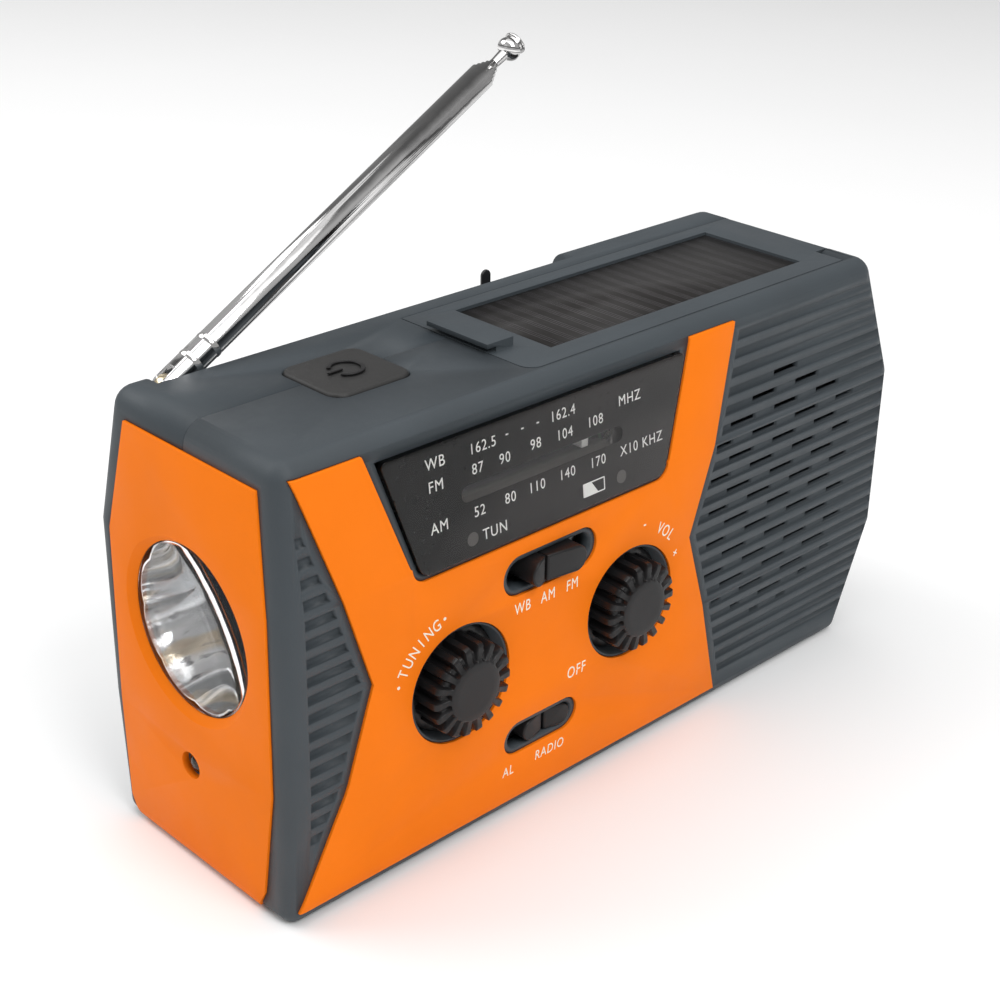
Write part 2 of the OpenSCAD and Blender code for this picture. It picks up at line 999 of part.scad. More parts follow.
module inner_section(i) {
    start = inner_start + (i - 2) * foot_step;
    color(steel)
        raised()
            translate([start, 0, 0])
                rotate([0, 90, 0])
                    difference() {
                        cylinder(d = section_d(i), h = tube_end + (i - 1) * 0.9 - start);
                        if (i < 5)
                            translate([0, 0, 0.4])
                                cylinder(d = section_d(i) - 2 * section_wall, h = mast_len);
                    }
}

module mast_2() {
    inner_section(2);
}

module mast_3() {
    inner_section(3);
}

module mast_4() {
    inner_section(4);
}

module mast_5() {
    inner_section(5);
}

module antenna_tip() {
    neck = tube_end + 3.6;
    color(steel)
        raised() {
            translate([neck, 0, 0])
                rotate([0, 90, 0])
                    cylinder(r = 0.95, h = mast_len - neck);
            translate([mast_len, 0, 0])
                sphere(r = tip_r);
        }
}

// Spring clip that the folded mast snaps into
module antenna_clip() {
    rear_y = pivot_y + mast_d / 2 + 0.3;
    color([0.2, 0.19, 0.19])
        translate([clip_x, 0, 0]) {
            block(0, clip_w, groove_y + 0.1, rear_y + 0.6, groove_z, groove_z + 0.7);
            block(0, clip_w, rear_y, rear_y + 0.6, groove_z, clip_top - clip_w / 2);
            rod_y(clip_w / 2, clip_top - clip_w / 2, clip_w / 2, rear_y, rear_y + 0.6);
            block(0, clip_w, groove_y + 0.1, groove_y + 0.6, groove_z, 84);
        }
}

// ---------- rear half ----------

module rear_fill() {
    rod_y(crank_x, crank_z, crank_well_r + 1.8, well_floor - 2, half_d);
    block(groove_left - 2.2, groove_right + 3, groove_y - 2.2, half_d, groove_z - 2.2, body_h);
    translate([pivot_x, pivot_y, groove_z - 6])
        cylinder(r = 4.6, h = 6);
    lid_tray(seam_y, 16.3);
    block(lid_end + 0.3, half_l, notch_rear, 23, 77, body_h);
    block(door_x - door_w / 2 - 2.4, door_x + door_w / 2 + 2.4, 21.6, half_d,
        door_low - 2.4, door_low + door_h + 2.4);
    on_rear_facet()
        translate([flap_x, flap_low + flap_h / 2, -5])
            linear_extrude(5)
                square([flap_w + 4, flap_h + 4], center = true);
    for (s = SCREWS)
        rod_y(s[0], s[1], 3.4, seam_y, half_d);
}

module antenna_groove() {
    block(groove_left, groove_right - 4, groove_y, far, groove_z, 2 * far);
    translate([groove_right - 4, groove_y, groove_z + 4])
        block(-1, 4, 0, far, 0, far);
    translate([groove_right - 4, groove_y, groove_z + 4])
        rotate([-90, 0, 0])
            cylinder(r = 4, h = far);
}

module rear_shell() {
    color(case_grey)
        difference() {
            body_hull(0);
            difference() {
                body_hull(wall);
                rear_fill();
            }
            block(-2 * far, 2 * far, -far, seam_y + seam_gap, -1, 3 * far);
            panel_recesses();
            shared_cuts();
            antenna_groove();
            rod_y(crank_x, crank_z, crank_well_r, well_floor, far);
            rod_y(crank_x, crank_z, 3.05, 0, far);
            translate([pivot_x, pivot_y, 60])
                cylinder(r = 2.9, h = 30);
            translate([pivot_x, pivot_y, 60])
                cylinder(r = 3.65, h = groove_z - 60 - 4.7);
            rod_y(hinge_x, hinge_z, 1.05, notch_rear - 1, 20.4);
            block(door_x - door_w / 2 - 0.3, door_x + door_w / 2 + 0.3, half_d - 2.3, far,
                door_low - 0.3, door_low + door_h + 0.3);
            block(door_x - door_w / 2 + 1.6, door_x + door_w / 2 - 1.6, 0, far,
                door_low + 2.2, door_low + door_h - 1.6);
            on_rear_facet()
                translate([flap_x, flap_low + flap_h / 2, 0]) {
                    translate([0, 0, -2.3])
                        linear_extrude(far)
                            square([flap_w + 0.6, flap_h + 0.6], center = true);
                    translate([0, 0, -20])
                        linear_extrude(far)
                            square([flap_w - 5, flap_h - 5], center = true);
                }
            for (s = SCREWS) {
                rod_y(s[0], s[1], 1.6, 0, far);
                rod_y(s[0], s[1], 3.0, 16, far);
            }
        }
}

module case_screws() {
    color(steel)
        for (s = SCREWS) {
            rod_y(s[0], s[1], 1.1, -14, 16);
            rod_y(s[0], s[1], 2.8, 16, 17.9);
        }
}

// ---------- crank ----------

module crank_shaft() {
    color(steel)
        union() {
            rod_y(crank_x, crank_z, 3.0, 3, 25);
            translate([crank_x, 0, crank_z])
                along_y(10.5, 13.5)
                    gear_outline(gear_a_teeth, gear_a_mod, idler_angle);
        }
}

module crank_arm() {
    rail_end = crank_reach + 4.4;
    color([0.2, 0.21, 0.22])
        translate([crank_x, 0, crank_z])
            difference() {
                union() {
                    rod_y(0, 0, 9, 18, 26);
                    block(0, crank_reach, 18, 26, -7, 7);
                    rod_y(crank_reach, 0, 7, 18, 26);
                }
                block(5.4, 2 * far, 17, 27, -4.2, 4.2);
                block(rail_end, 2 * far, 17, 27, -9, 9);
                rod_y(0, 0, 3.0, 17, 25);
                translate([crank_reach, 22, 0])
                    cylinder(r = 1.05, h = 30, center = true);
            }
}

module grip_pin() {
    color(steel)
        translate([crank_x + crank_reach, 22, crank_z])
            cylinder(r = 1.0, h = 12.4, center = true);
}

// Yoke that folds about the pin, with the spindle that the grip turns on
module grip_yoke() {
    color([0.25, 0.25, 0.27])
        translate([crank_x + crank_reach, 22, crank_z])
            difference() {
                union() {
                    cylinder(r = 3.6, h = 7.8, center = true);
                    rotate([0, -90, 0])
                        cylinder(r = 1.5, h = 16.6);
                }
                cylinder(r = 1.06, h = 20, center = true);
            }
}

module crank_grip() {
    color(rubber_black)
        translate([crank_x + crank_reach - 4, 22, crank_z])
            rotate([0, -90, 0])
                difference() {
                    cylinder(r = 3.7, h = 13.6);
                    translate([0, 0, -1])
                        cylinder(r = 1.56, h = 13.8);
                    for (i = [0:2])
                        translate([0, 0, 3 + i * 4])
                            difference() {
                                cylinder(r = 5, h = 0.8);
                                cylinder(r = 3.4, h = 0.8);
                            }
                }
}

module idler_gear() {
    mesh_b = 180 + idler_angle + 180 / gear_b_teeth;
    color([0.92, 0.92, 0.88])
        translate([idler_x, 0, idler_z])
            difference() {
                union() {
                    along_y(8.6, 13.5)
                        gear_outline(gear_b_teeth, gear_a_mod, mesh_b);
                    along_y(6, 8.6)
                        gear_outline(gear_c_teeth, gear_c_mod, rotor_angle);
                }
                rod_y(0, 0, 1.05, 0, 20);
            }
}

module generator_rotor() {
    mesh_d = 180 + rotor_angle + 180 / gear_d_teeth;
    color(steel)
        translate([rotor_x, 0, rotor_z]) {
            along_y(5.9, 8.7)
                gear_outline(gear_d_teeth, gear_c_mod, mesh_d);
            rod_y(0, 0, 0.95, -6, 6);
            rod_y(0, 0, 7.4, -5.5, 2.6);
        }
}

module generator_body() {
    color([0.6, 0.6, 0.62])
        translate([rotor_x, 0, rotor_z])
            difference() {
                rod_y(0, 0, 10, -8, 5.2);
                rod_y(0, 0, 7.8, -6.3, 3.4);
                rod_y(0, 0, 1.0, -7, 6);
            }
}

// Plate that carries the idler's axle and the ends of the shafts
module gearbox_plate() {
    color([0.8, 0.8, 0.76]) {
        difference() {
            block(-58, -1, 3.4, 5.2, 20, 62);
            rod_y(crank_x, crank_z, 3.05, 0, 9);
            rod_y(rotor_x, rotor_z, 10.1, 0, 9);
        }
        rod_y(idler_x, idler_z, 1.0, 5.2, 15);
    }
}

// ---------- battery and ports ----------

module battery_cell() {
    color([0.2, 0.35, 0.65]) {
        rod_x(battery_y, battery_z, 9, battery_x - 32.5, battery_x + 31.5);
        rod_x(battery_y, battery_z, 3, battery_x + 31.5, battery_x + 32.5);
    }
}

module battery_contacts() {
    color(steel) {
        block(battery_x - 33.4, battery_x - 32.6, battery_y - 6, battery_y + 6,
            battery_z - 7, battery_z + 7);
        block(battery_x + 32.6, battery_x + 33.4, battery_y - 6, battery_y + 6,
            battery_z - 7, battery_z + 7);
    }
}

// Hinged cover drawn standing on its hinge edge: width, height, thickness
module hinged_cover(w, h, t) {
    translate([-w / 2, t / 2, -t])
        cube([w, h - t / 2, t]);
    translate([-w / 2, t / 2, -t / 2])
        rotate([0, 90, 0])
            cylinder(d = t, h = w);
}

module battery_door() {
    color(case_grey)
        difference() {
            translate([door_x, half_d, door_low])
                mirror([0, 1, 0])
                    rotate([90, 0, 0])
                        hinged_cover(door_w, door_h, 2);
            for (i = [0:3])
                block(door_x - 6, door_x + 6, half_d - 0.5, far,
                    door_low + 12 + i * 2, door_low + 13 + i * 2);
        }
}

module port_flap() {
    color([0.13, 0.13, 0.14])
        on_rear_facet()
            translate([flap_x, flap_low, 0])
                hinged_cover(flap_w, flap_h, 2);
}

// Socket strip: charging inlet, power outlet and earphone jack
module port_sockets() {
    color([0.1, 0.1, 0.11])
        on_rear_facet()
            translate([flap_x, flap_low + flap_h / 2, -14])
                difference() {
                    linear_extrude(10.4)
                        square([28, 8], center = true);
                    translate([-9.5, 0, 5])
                        linear_extrude(10)
                            rounded_rect(7.6, 2.8, 0.8);
                    translate([1, 0, 2])
                        linear_extrude(10)
                            difference() {
                                square([12.6, 5], center = true);
                                translate([0, 1])
                                    square([11, 1.8], center = true);
                            }
                    translate([11, 0, 0.5])
                        cylinder(r = 1.8, h = 12);
                }
}

front_shell();
rear_shell();
front_panel();
end_panel();
dial_lens();
dial_plate();
dial_pointer();
dial_cord();
tuning_knob();
tuning_shaft();
tuning_capacitor();
volume_knob();
volume_shaft();
volume_pot();
band_switch_cap();
band_switch_body();
alert_switch_cap();
alert_switch_body();
main_board();
speaker_frame();
speaker_cone();
speaker_magnet();
reflector();
torch_lens();
torch_led();
signal_led();
indicator_leds();
power_button();
button_board();
lid_frame();
solar_cell();
lamp_lens();
lamp_board();
lid_pin();
antenna_bush();
antenna_swivel();
antenna_pin();
mast_1();
mast_2();
mast_3();
mast_4();
mast_5();
antenna_tip();
antenna_clip();
crank_shaft();
crank_arm();
grip_yoke();
grip_pin();
crank_grip();
idler_gear();
generator_body();
generator_rotor();
gearbox_plate();
battery_cell();
battery_contacts();
battery_door();
port_flap();
port_sockets();
case_screws();
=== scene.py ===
import json
import math

import bmesh
import bpy
from mathutils import Matrix, Vector


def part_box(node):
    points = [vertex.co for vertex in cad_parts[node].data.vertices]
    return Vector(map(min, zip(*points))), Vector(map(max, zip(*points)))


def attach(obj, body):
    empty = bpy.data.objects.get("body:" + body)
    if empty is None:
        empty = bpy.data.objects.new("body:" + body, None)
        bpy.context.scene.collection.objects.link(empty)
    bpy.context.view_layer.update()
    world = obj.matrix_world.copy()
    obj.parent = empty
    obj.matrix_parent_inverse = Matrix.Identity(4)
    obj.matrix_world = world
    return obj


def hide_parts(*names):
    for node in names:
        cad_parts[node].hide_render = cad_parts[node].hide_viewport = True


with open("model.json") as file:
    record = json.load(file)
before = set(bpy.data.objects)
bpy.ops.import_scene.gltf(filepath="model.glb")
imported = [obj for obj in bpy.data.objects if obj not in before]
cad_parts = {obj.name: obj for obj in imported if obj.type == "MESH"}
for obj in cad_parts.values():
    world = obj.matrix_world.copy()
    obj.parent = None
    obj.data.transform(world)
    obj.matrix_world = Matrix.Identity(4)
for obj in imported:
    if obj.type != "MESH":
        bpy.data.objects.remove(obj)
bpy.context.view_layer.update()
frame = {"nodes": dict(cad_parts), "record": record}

# Lengths are in millimetres until mesh_piece() or curve code scales them to metres.
MM = 0.001
NODES = frame["nodes"]


# ---------- places, from the frame ----------

def box_mm(node):
    low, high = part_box(node)
    return low / MM, high / MM


SHELL_LOW, SHELL_HIGH = box_mm("front_shell")
TUNING_LOW, TUNING_HIGH = box_mm("tuning_knob")
VOLUME_LOW, VOLUME_HIGH = box_mm("volume_knob")
LENS_LOW, LENS_HIGH = box_mm("dial_lens")
BAND_LOW, BAND_HIGH = box_mm("band_switch_cap")
ALERT_LOW, ALERT_HIGH = box_mm("alert_switch_cap")
TORCH_LOW, TORCH_HIGH = box_mm("torch_lens")
CUP_LOW, CUP_HIGH = box_mm("reflector")
BUTTON_LOW, BUTTON_HIGH = box_mm("power_button")
_, TIP_HIGH = box_mm("antenna_tip")
PIN_LOW, PIN_HIGH = box_mm("antenna_pin")

TOP_Z = SHELL_HIGH.z
FRONT_Y = SHELL_LOW.y
KNOB_Z = (TUNING_LOW.z + TUNING_HIGH.z) / 2
TUNING_X = (TUNING_LOW.x + TUNING_HIGH.x) / 2
VOLUME_X = (VOLUME_LOW.x + VOLUME_HIGH.x) / 2
# Knobs: the radius over the teeth, the skirt's radius, and how far behind the face the skirt starts
KNOB_R = 9.0
SKIRT_R = 10.3
SKIRT = 6.4
DIAL_X = (LENS_LOW.x + LENS_HIGH.x) / 2
# The front leans back from this height, by this much at the top
CREASE_HIGH = 60.6
FACET_SETBACK = 2.95
FACET_TILT = math.atan(FACET_SETBACK / (TOP_Z - CREASE_HIGH))

# Local frame of the upper front facet: x along it, y up it, z outwards
FACET = (Matrix.Translation(Vector((0, FRONT_Y, CREASE_HIGH)))
         @ Matrix.Rotation(math.pi / 2 - FACET_TILT, 4, "X")
         @ Matrix.Translation(Vector((0, -CREASE_HIGH, 0))))


# ---------- materials ----------

class Tree:
    """A material's node tree, with short calls for the few node kinds used here."""

    def __init__(self, name, colour, roughness, metallic=0.0, coat=0.0, ior=1.5, transmission=0.0,
                 specular=0.5):
        self.material = bpy.data.materials.new(name)
        self.material.use_nodes = True
        self.nodes = self.material.node_tree.nodes
        self.links = self.material.node_tree.links
        self.shader = self.nodes["Principled BSDF"]
        self.set(self.shader, "Base Color", (*colour, 1))
        self.set(self.shader, "Roughness", roughness)
        self.set(self.shader, "Metallic", metallic)
        self.set(self.shader, "Coat Weight", coat)
        self.set(self.shader, "IOR", ior)
        self.set(self.shader, "Transmission Weight", transmission)
        self.set(self.shader, "Specular IOR Level", specular)
        self.place = self.node("ShaderNodeTexCoord").outputs["Object"]

    def node(self, kind, **values):
        made = self.nodes.new(kind)
        for key, value in values.items():
            setattr(made, key, value)
        return made

    def set(self, node, socket, value):
        node.inputs[socket].default_value = value

    def join(self, output, node, socket):
        self.links.new(output, node.inputs[socket])

    def noise(self, scale, detail=3.0, stretch=(1, 1, 1), rough=0.5):
        """Noise on the object's own coordinates; scale is in features per metre."""
        mapping = self.node("ShaderNodeMapping")
        self.set(mapping, "Scale", stretch)
        self.join(self.place, mapping, "Vector")
        made = self.node("ShaderNodeTexNoise")
        self.set(made, "Scale", scale)
        self.set(made, "Detail", detail)
        self.set(made, "Roughness", rough)
        self.join(mapping.outputs["Vector"], made, "Vector")
        return made.outputs["Fac"]

    def ramp(self, factor, low, high, a, b):
        """Maps factor from low..high to a..b."""
        made = self.node("ShaderNodeMapRange")
        self.set(made, "From Min", low)
        self.set(made, "From Max", high)
        self.set(made, "To Min", a)
        self.set(made, "To Max", b)
        self.join(factor, made, "Value")
        return made.outputs["Result"]

    def math(self, operation, a, b):
        made = self.node("ShaderNodeMath", operation=operation)
        for slot, value in enumerate((a, b)):
            if isinstance(value, (int, float)):
                made.inputs[slot].default_value = value
            else:
                self.links.new(value, made.inputs[slot])
        return made.outputs[0]

    def mix(self, factor, first, second):
        """Mixes two colours, given as tuples or as outputs."""
        made = self.node("ShaderNodeMix", data_type="RGBA")
        self.links.new(factor, made.inputs[0])
        for slot, value in ((6, first), (7, second)):
            if isinstance(value, tuple):
                made.inputs[slot].default_value = (*value, 1)
            else:
                self.links.new(value, made.inputs[slot])
        return made.outputs[2]

    def bump(self, height, distance):
        made = self.node("ShaderNodeBump")
        self.set(made, "Distance", distance)
        self.join(height, made, "Height")
        return made.outputs["Normal"]


def shade(colour, factor):
    return tuple(min(1.0, c * factor) for c in colour)


def plastic(name, colour, roughness, grain=0.02, wear=0.06, **more):
    """Moulded plastic: fine spark-eroded grain, cloudy colour and roughness, and a few paler rubs."""
    t = Tree(name, colour, roughness, **more)
    cloud = t.noise(55, 4)
    fine = t.noise(3500, 2)
    rub = t.ramp(t.noise(420, 5, (1, 1, 2.5), 0.7), 0.62, 0.8, 0, 1)
    base = t.mix(t.ramp(cloud, 0.3, 0.7, 0, 1), shade(colour, 1 - wear), shade(colour, 1 + wear))
    base = t.mix(t.math("MULTIPLY", rub, 0.12), base, shade(colour, 1.5))
    t.join(base, t.shader, "Base Color")
    t.join(t.ramp(t.noise(140, 4), 0.3, 0.7, roughness - 0.05, roughness + 0.07), t.shader, "Roughness")
    t.join(t.bump(fine, grain * MM), t.shader, "Normal")
    return t.material


def metal(name, colour, roughness):
    """Plated metal: a very fine grain and faint handling marks."""
    t = Tree(name, colour, roughness, metallic=1.0)
    fine = t.noise(2600, 3)
    smear = t.noise(160, 4)
    t.join(t.mix(t.ramp(smear, 0.35, 0.7, 0, 1), shade(colour, 0.93), shade(colour, 1.04)),
           t.shader, "Base Color")
    t.join(t.ramp(smear, 0.35, 0.7, roughness, roughness + 0.04), t.shader, "Roughness")
    t.join(t.bump(fine, 0.004 * MM), t.shader, "Normal")
    return t.material


def plated_tube(name):
    """Bright plated tube with painted reflections: light and dark lines along it, painted into the colour by
    the way its skin faces.
    """
    t = Tree(name, (0.8, 0.79, 0.78), 0.12, metallic=1.0)
    axes = t.node("ShaderNodeSeparateXYZ")
    t.join(t.node("ShaderNodeTexCoord").outputs["Normal"], axes, "Vector")
    painted_reflection_bands = t.node("ShaderNodeValToRGB")
    # Grey levels of the painted reflection lines, by how far the skin faces up
    stops = ((0.0, 0.10), (0.12, 0.16), (0.20, 0.42), (0.235, 0.72), (0.26, 0.40), (0.36, 0.50), (0.42, 0.62),
             (0.435, 0.14), (0.455, 0.16), (0.47, 0.80), (0.60, 0.90), (0.615, 0.20), (0.64, 0.22),
             (0.66, 0.85), (0.80, 0.95), (0.86, 0.60), (0.92, 0.28), (1.0, 0.35))
    for k, (at, value) in enumerate(stops):
        element = painted_reflection_bands.color_ramp.elements[k] if k < 2 else painted_reflection_bands.color_ramp.elements.new(at)
        element.position = at
        element.color = (value, value * 0.99, value * 0.985, 1)
    # How far the skin faces up picks the painted reflection line
    lean = t.math("ADD", t.math("MULTIPLY", axes.outputs["Z"], 0.5), 0.5)
    t.join(t.math("ADD", lean, t.ramp(t.noise(420, 2), 0.3, 0.7, -0.012, 0.012)), painted_reflection_bands, "Fac")
    t.join(painted_reflection_bands.outputs["Color"], t.shader, "Base Color")
    t.join(t.ramp(t.noise(160, 4), 0.35, 0.7, 0.10, 0.16), t.shader, "Roughness")
    return t.material


def mirror(name):
    """Vacuum-plated cup: bright film with painted reflections in its colour, grey, white and warm streaks drawn
    out along X, crossed by thin dark painted streaks.
    """
    t = Tree(name, (0.9, 0.9, 0.9), 0.10, metallic=0.85)
    broad = t.noise(150, 2, (0.10, 1, 1))
    fine = t.noise(520, 3, (0.05, 1, 1))
    # Painted reflections: grey and white streaks along X
    film = t.mix(t.ramp(broad, 0.36, 0.66, 0, 1), (0.42, 0.43, 0.44), (1.0, 1.0, 1.0))
    # Painted warm reflection streaks
    warm = t.ramp(t.noise(210, 2, (0.08, 1, 1)), 0.56, 0.66, 0, 0.75)
    film = t.mix(warm, film, (0.80, 0.66, 0.47))
    # Thin dark painted reflection streaks over the rest
    t.join(t.mix(t.ramp(fine, 0.60, 0.68, 0, 0.7), film, (0.10, 0.10, 0.11)), t.shader, "Base Color")
    t.join(t.ramp(broad, 0.3, 0.7, 0.06, 0.2), t.shader, "Roughness")
    t.join(t.bump(fine, 0.02 * MM), t.shader, "Normal")
    return t.material


def dial_film(name):
    """Black film on the back of the dial window, with broad brownish and grey painted sheens along it."""
    t = Tree(name, (0.008, 0.007, 0.007), 0.3, specular=0.15)
    # Painted sheen: broad bands along X where the black is lifted to brownish grey
    sheen = t.ramp(t.noise(52, 1, (0.22, 1, 1)), 0.42, 0.60, 0, 1)
    warm = t.mix(t.noise(30, 2, (0.3, 1, 1)), (0.040, 0.033, 0.031), (0.026, 0.026, 0.028))
    t.join(t.mix(sheen, (0.003, 0.003, 0.003), warm), t.shader, "Base Color")
    t.join(t.ramp(t.noise(900, 3), 0.3, 0.7, 0.26, 0.36), t.shader, "Roughness")
    return t.material


def clear(name, colour, roughness, ior=1.49, specular=0.5):
    """Clear moulded plastic with a faint ripple in its skin."""
    t = Tree(name, colour, roughness, ior=ior, transmission=1.0, specular=specular)
    t.join(t.ramp(t.noise(300, 3), 0.4, 0.8, roughness, roughness + 0.03), t.shader, "Roughness")
    t.join(t.bump(t.noise(90, 2), 0.05 * MM), t.shader, "Normal")
    return t.material


def rubber(name, colour, roughness):
    """Moulded rubber: dusty grain and slightly greyed high spots."""
    t = Tree(name, colour, roughness)
    grain = t.noise(5200, 3)
    dust = t.ramp(t.noise(260, 5, rough=0.65), 0.5, 0.75, 0, 1)
    t.join(t.mix(t.math("MULTIPLY", dust, 0.35), colour, shade(colour, 1.9)), t.shader, "Base Color")
    t.join(t.ramp(dust, 0, 1, roughness - 0.06, roughness + 0.1), t.shader, "Roughness")
    t.join(t.bump(grain, 0.03 * MM), t.shader, "Normal")
    return t.material


def silicon(name):
    """Solar cell: dark brown film in strips along X, crossed by thin printed conductors in groups."""
    t = Tree(name, (0.035, 0.030, 0.031), 0.34, specular=0.2)
    axes = t.node("ShaderNodeSeparateXYZ")
    t.join(t.place, axes, "Vector")
    along = axes.outputs["X"]

    def lines(pitch_mm, offset_mm, width_mm):
        """1 on lines across X, at this pitch and offset."""
        place = t.math("FRACT", t.math("DIVIDE", t.math("ADD", along, offset_mm * MM), pitch_mm * MM), 0)
        distance = t.math("ABSOLUTE", t.math("SUBTRACT", place, 0.5), 0)
        half = width_mm / pitch_mm / 2
        return t.ramp(distance, half * 0.55, half * 1.35, 1, 0)

    pitch = 3.58
    mask = lines(pitch, 0, 0.13)
    for offset in (0.62, 1.24):
        mask = t.math("MAXIMUM", mask, lines(pitch, offset, 0.13))
    flicker = t.ramp(t.noise(700, 3, (1, 0.15, 1)), 0.3, 0.7, 0.35, 1)
    cloud = t.ramp(t.noise(120, 4, (3, 1, 1)), 0.3, 0.7, 0, 1)
    film = t.mix(cloud, (0.015, 0.0135, 0.013), (0.023, 0.021, 0.020))
    t.join(t.mix(t.math("MULTIPLY", mask, flicker), film, (0.105, 0.098, 0.106)), t.shader, "Base Color")
    t.join(t.ramp(mask, 0, 1, 0.36, 0.26), t.shader, "Roughness")
    t.join(t.bump(mask, 0.02 * MM), t.shader, "Normal")
    return t.material


def board(name):
    """Circuit board: green mask with paler copper tracks showing through."""
    t = Tree(name, (0.02, 0.16, 0.06), 0.4, coat=0.4)
    cells = t.node("ShaderNodeTexVoronoi", feature="DISTANCE_TO_EDGE", distance="MANHATTAN")
    t.set(cells, "Scale", 180)
    t.join(t.place, cells, "Vector")
    tracks = t.ramp(cells.outputs["Distance"], 0.05, 0.08, 1, 0)
    t.join(t.mix(tracks, (0.015, 0.12, 0.05), (0.06, 0.30, 0.10)), t.shader, "Base Color")
    t.join(t.bump(tracks, 0.03 * MM), t.shader, "Normal")
    return t.material


def cord_braid(name):
    t = Tree(name, (0.75, 0.72, 0.58), 0.75)
    weave = t.node("ShaderNodeTexWave")
    t.set(weave, "Scale", 900)
    t.join(t.place, weave, "Vector")
    t.join(t.mix(weave.outputs["Fac"], (0.62, 0.58, 0.45), (0.85, 0.82, 0.7)), t.shader, "Base Color")
    t.join(t.bump(weave.outputs["Fac"], 0.1 * MM), t.shader, "Normal")
    return t.material


MAT = {
    "case": plastic("case_plastic", (0.046, 0.056, 0.064), 0.52, grain=0.030, specular=0.35),
    "orange": plastic("orange_plastic", (0.88, 0.190, 0.006), 0.5, grain=0.018, wear=0.03, specular=0.08),
    "black": plastic("black_plastic", (0.012, 0.012, 0.013), 0.34, grain=0.012, wear=0.12),
    "knob": plastic("knob_plastic", (0.011, 0.0105, 0.011), 0.36, grain=0.016, wear=0.12, specular=0.28),
    "pale": plastic("pale_plastic", (0.72, 0.70, 0.64), 0.45),
    "print_black": dial_film("dial_print"),
    "dial_grey": plastic("dial_card", (0.105, 0.098, 0.092), 0.5, grain=0.01, wear=0.1),
    "white_ink": plastic("white_ink", (0.92, 0.92, 0.90), 0.45, grain=0.006, wear=0.04),
    "cream_ink": plastic("cream_ink", (0.85, 0.80, 0.66), 0.5, grain=0.006, wear=0.05),
    "rubber": rubber("button_rubber", (0.016, 0.0155, 0.015), 0.62),
    "flap": rubber("flap_rubber", (0.045, 0.047, 0.050), 0.6),
    "chrome": metal("chrome_plate", (0.80, 0.79, 0.78), 0.10),
    "tube": plated_tube("mast_plate"),
    "mirror": mirror("reflector_plate"),
    "steel": metal("steel_plate", (0.58, 0.58, 0.59), 0.26),
    "brass": metal("nickel_brass", (0.70, 0.60, 0.42), 0.20),
    "glass": clear("clear_lens", (0.99, 0.995, 1.0), 0.02, ior=1.12, specular=0.4),
    "window": clear("dial_window", (0.97, 0.96, 0.95), 0.02, ior=1.3, specular=0.2),
    "led": clear("led_resin", (0.93, 0.93, 0.88), 0.06),
    "silicon": silicon("solar_film"),
    "board": board("circuit_board"),
    "cone": rubber("cone_paper", (0.020, 0.019, 0.018), 0.8),
    "wrap": plastic("cell_wrap", (0.05, 0.13, 0.42), 0.3),
    "cord": cord_braid("cord_braid"),
}

SLOT_MATERIAL = {
    "grey_plastic": "case", "orange_plastic": "orange", "black_rubber": "knob", "black_plastic": "black",
    "pale_plastic": "pale", "clear_plastic": "glass", "dial_black": "print_black", "chrome": "chrome",
    "steel": "steel", "brass": "brass", "board_green": "board", "cone_paper": "cone", "silicon": "silicon",
    "cell_wrap": "wrap", "cord": "cord",
}
NODE_MATERIAL = {
    "power_button": "rubber", "port_flap": "flap", "crank_grip": "rubber", "signal_led": "led",
    "indicator_leds": "led", "dial_plate": "dial_grey", "torch_led": "led", "reflector": "mirror",
    "lamp_lens": "led", "mast_1": "tube", "mast_2": "tube", "mast_3": "tube", "mast_4": "tube",
    "mast_5": "tube",
}


# ---------- mesh helpers ----------

def finish_piece(obj, body, material, replaces=()):
    obj.data.materials.clear()
    obj.data.materials.append(MAT[material])
    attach(obj, body)
    if replaces:
        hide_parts(*replaces)
    return obj


def link_mesh(name, mesh, smooth=True, sharp=35):
    obj = bpy.data.objects.new(name, mesh)
    bpy.context.scene.collection.objects.link(obj)
    mesh.polygons.foreach_set("use_smooth", [smooth] * len(mesh.polygons))
    if smooth:
        mesh.set_sharp_from_angle(angle=math.radians(sharp))
    return obj


def mesh_piece(name, vertices, faces, sharp=35):
    """A mesh from vertices in millimetres."""
    mesh = bpy.data.meshes.new(name)
    mesh.from_pydata([tuple(c * MM for c in v) for v in vertices], [], faces)
    mesh.validate()
    made = bmesh.new()
    made.from_mesh(mesh)
    bmesh.ops.remove_doubles(made, verts=made.verts, dist=1e-7)
    bmesh.ops.recalc_face_normals(made, faces=made.faces)
    made.to_mesh(mesh)
    made.free()
    return link_mesh(name, mesh, sharp=sharp)


def turned(name, profile, place, steps=96, radius=None, sharp=35):
    """A closed surface of revolution. profile lists (radius, height) from axis to axis; place maps
    local Z-up coordinates to the row frame; radius(r, h, angle) may bend the section."""
    vertices, faces = [], []
    for r, h in profile:
        for k in range(steps):
            a = 2 * math.pi * k / steps
            bent = radius(r, h, a) if radius else r
            vertices.append(place @ Vector((bent * math.cos(a), bent * math.sin(a), h)))
    for ring in range(len(profile) - 1):
        for k in range(steps):
            n = (k + 1) % steps
            faces.append((ring * steps + k, ring * steps + n, (ring + 1) * steps + n, (ring + 1) * steps + k))
    return mesh_piece(name, vertices, faces, sharp)


def facing_front(x, y, z):
    """Local Z points out of the front, local Y up."""
    return Matrix.Translation(Vector((x, y, z))) @ Matrix.Rotation(math.pi / 2, 4, "X")


def facing_left(x, y, z):
    """Local Z points out of the left end, local X up."""
    return Matrix.Translation(Vector((x, y, z))) @ Matrix.Rotation(-math.pi / 2, 4, "Y")


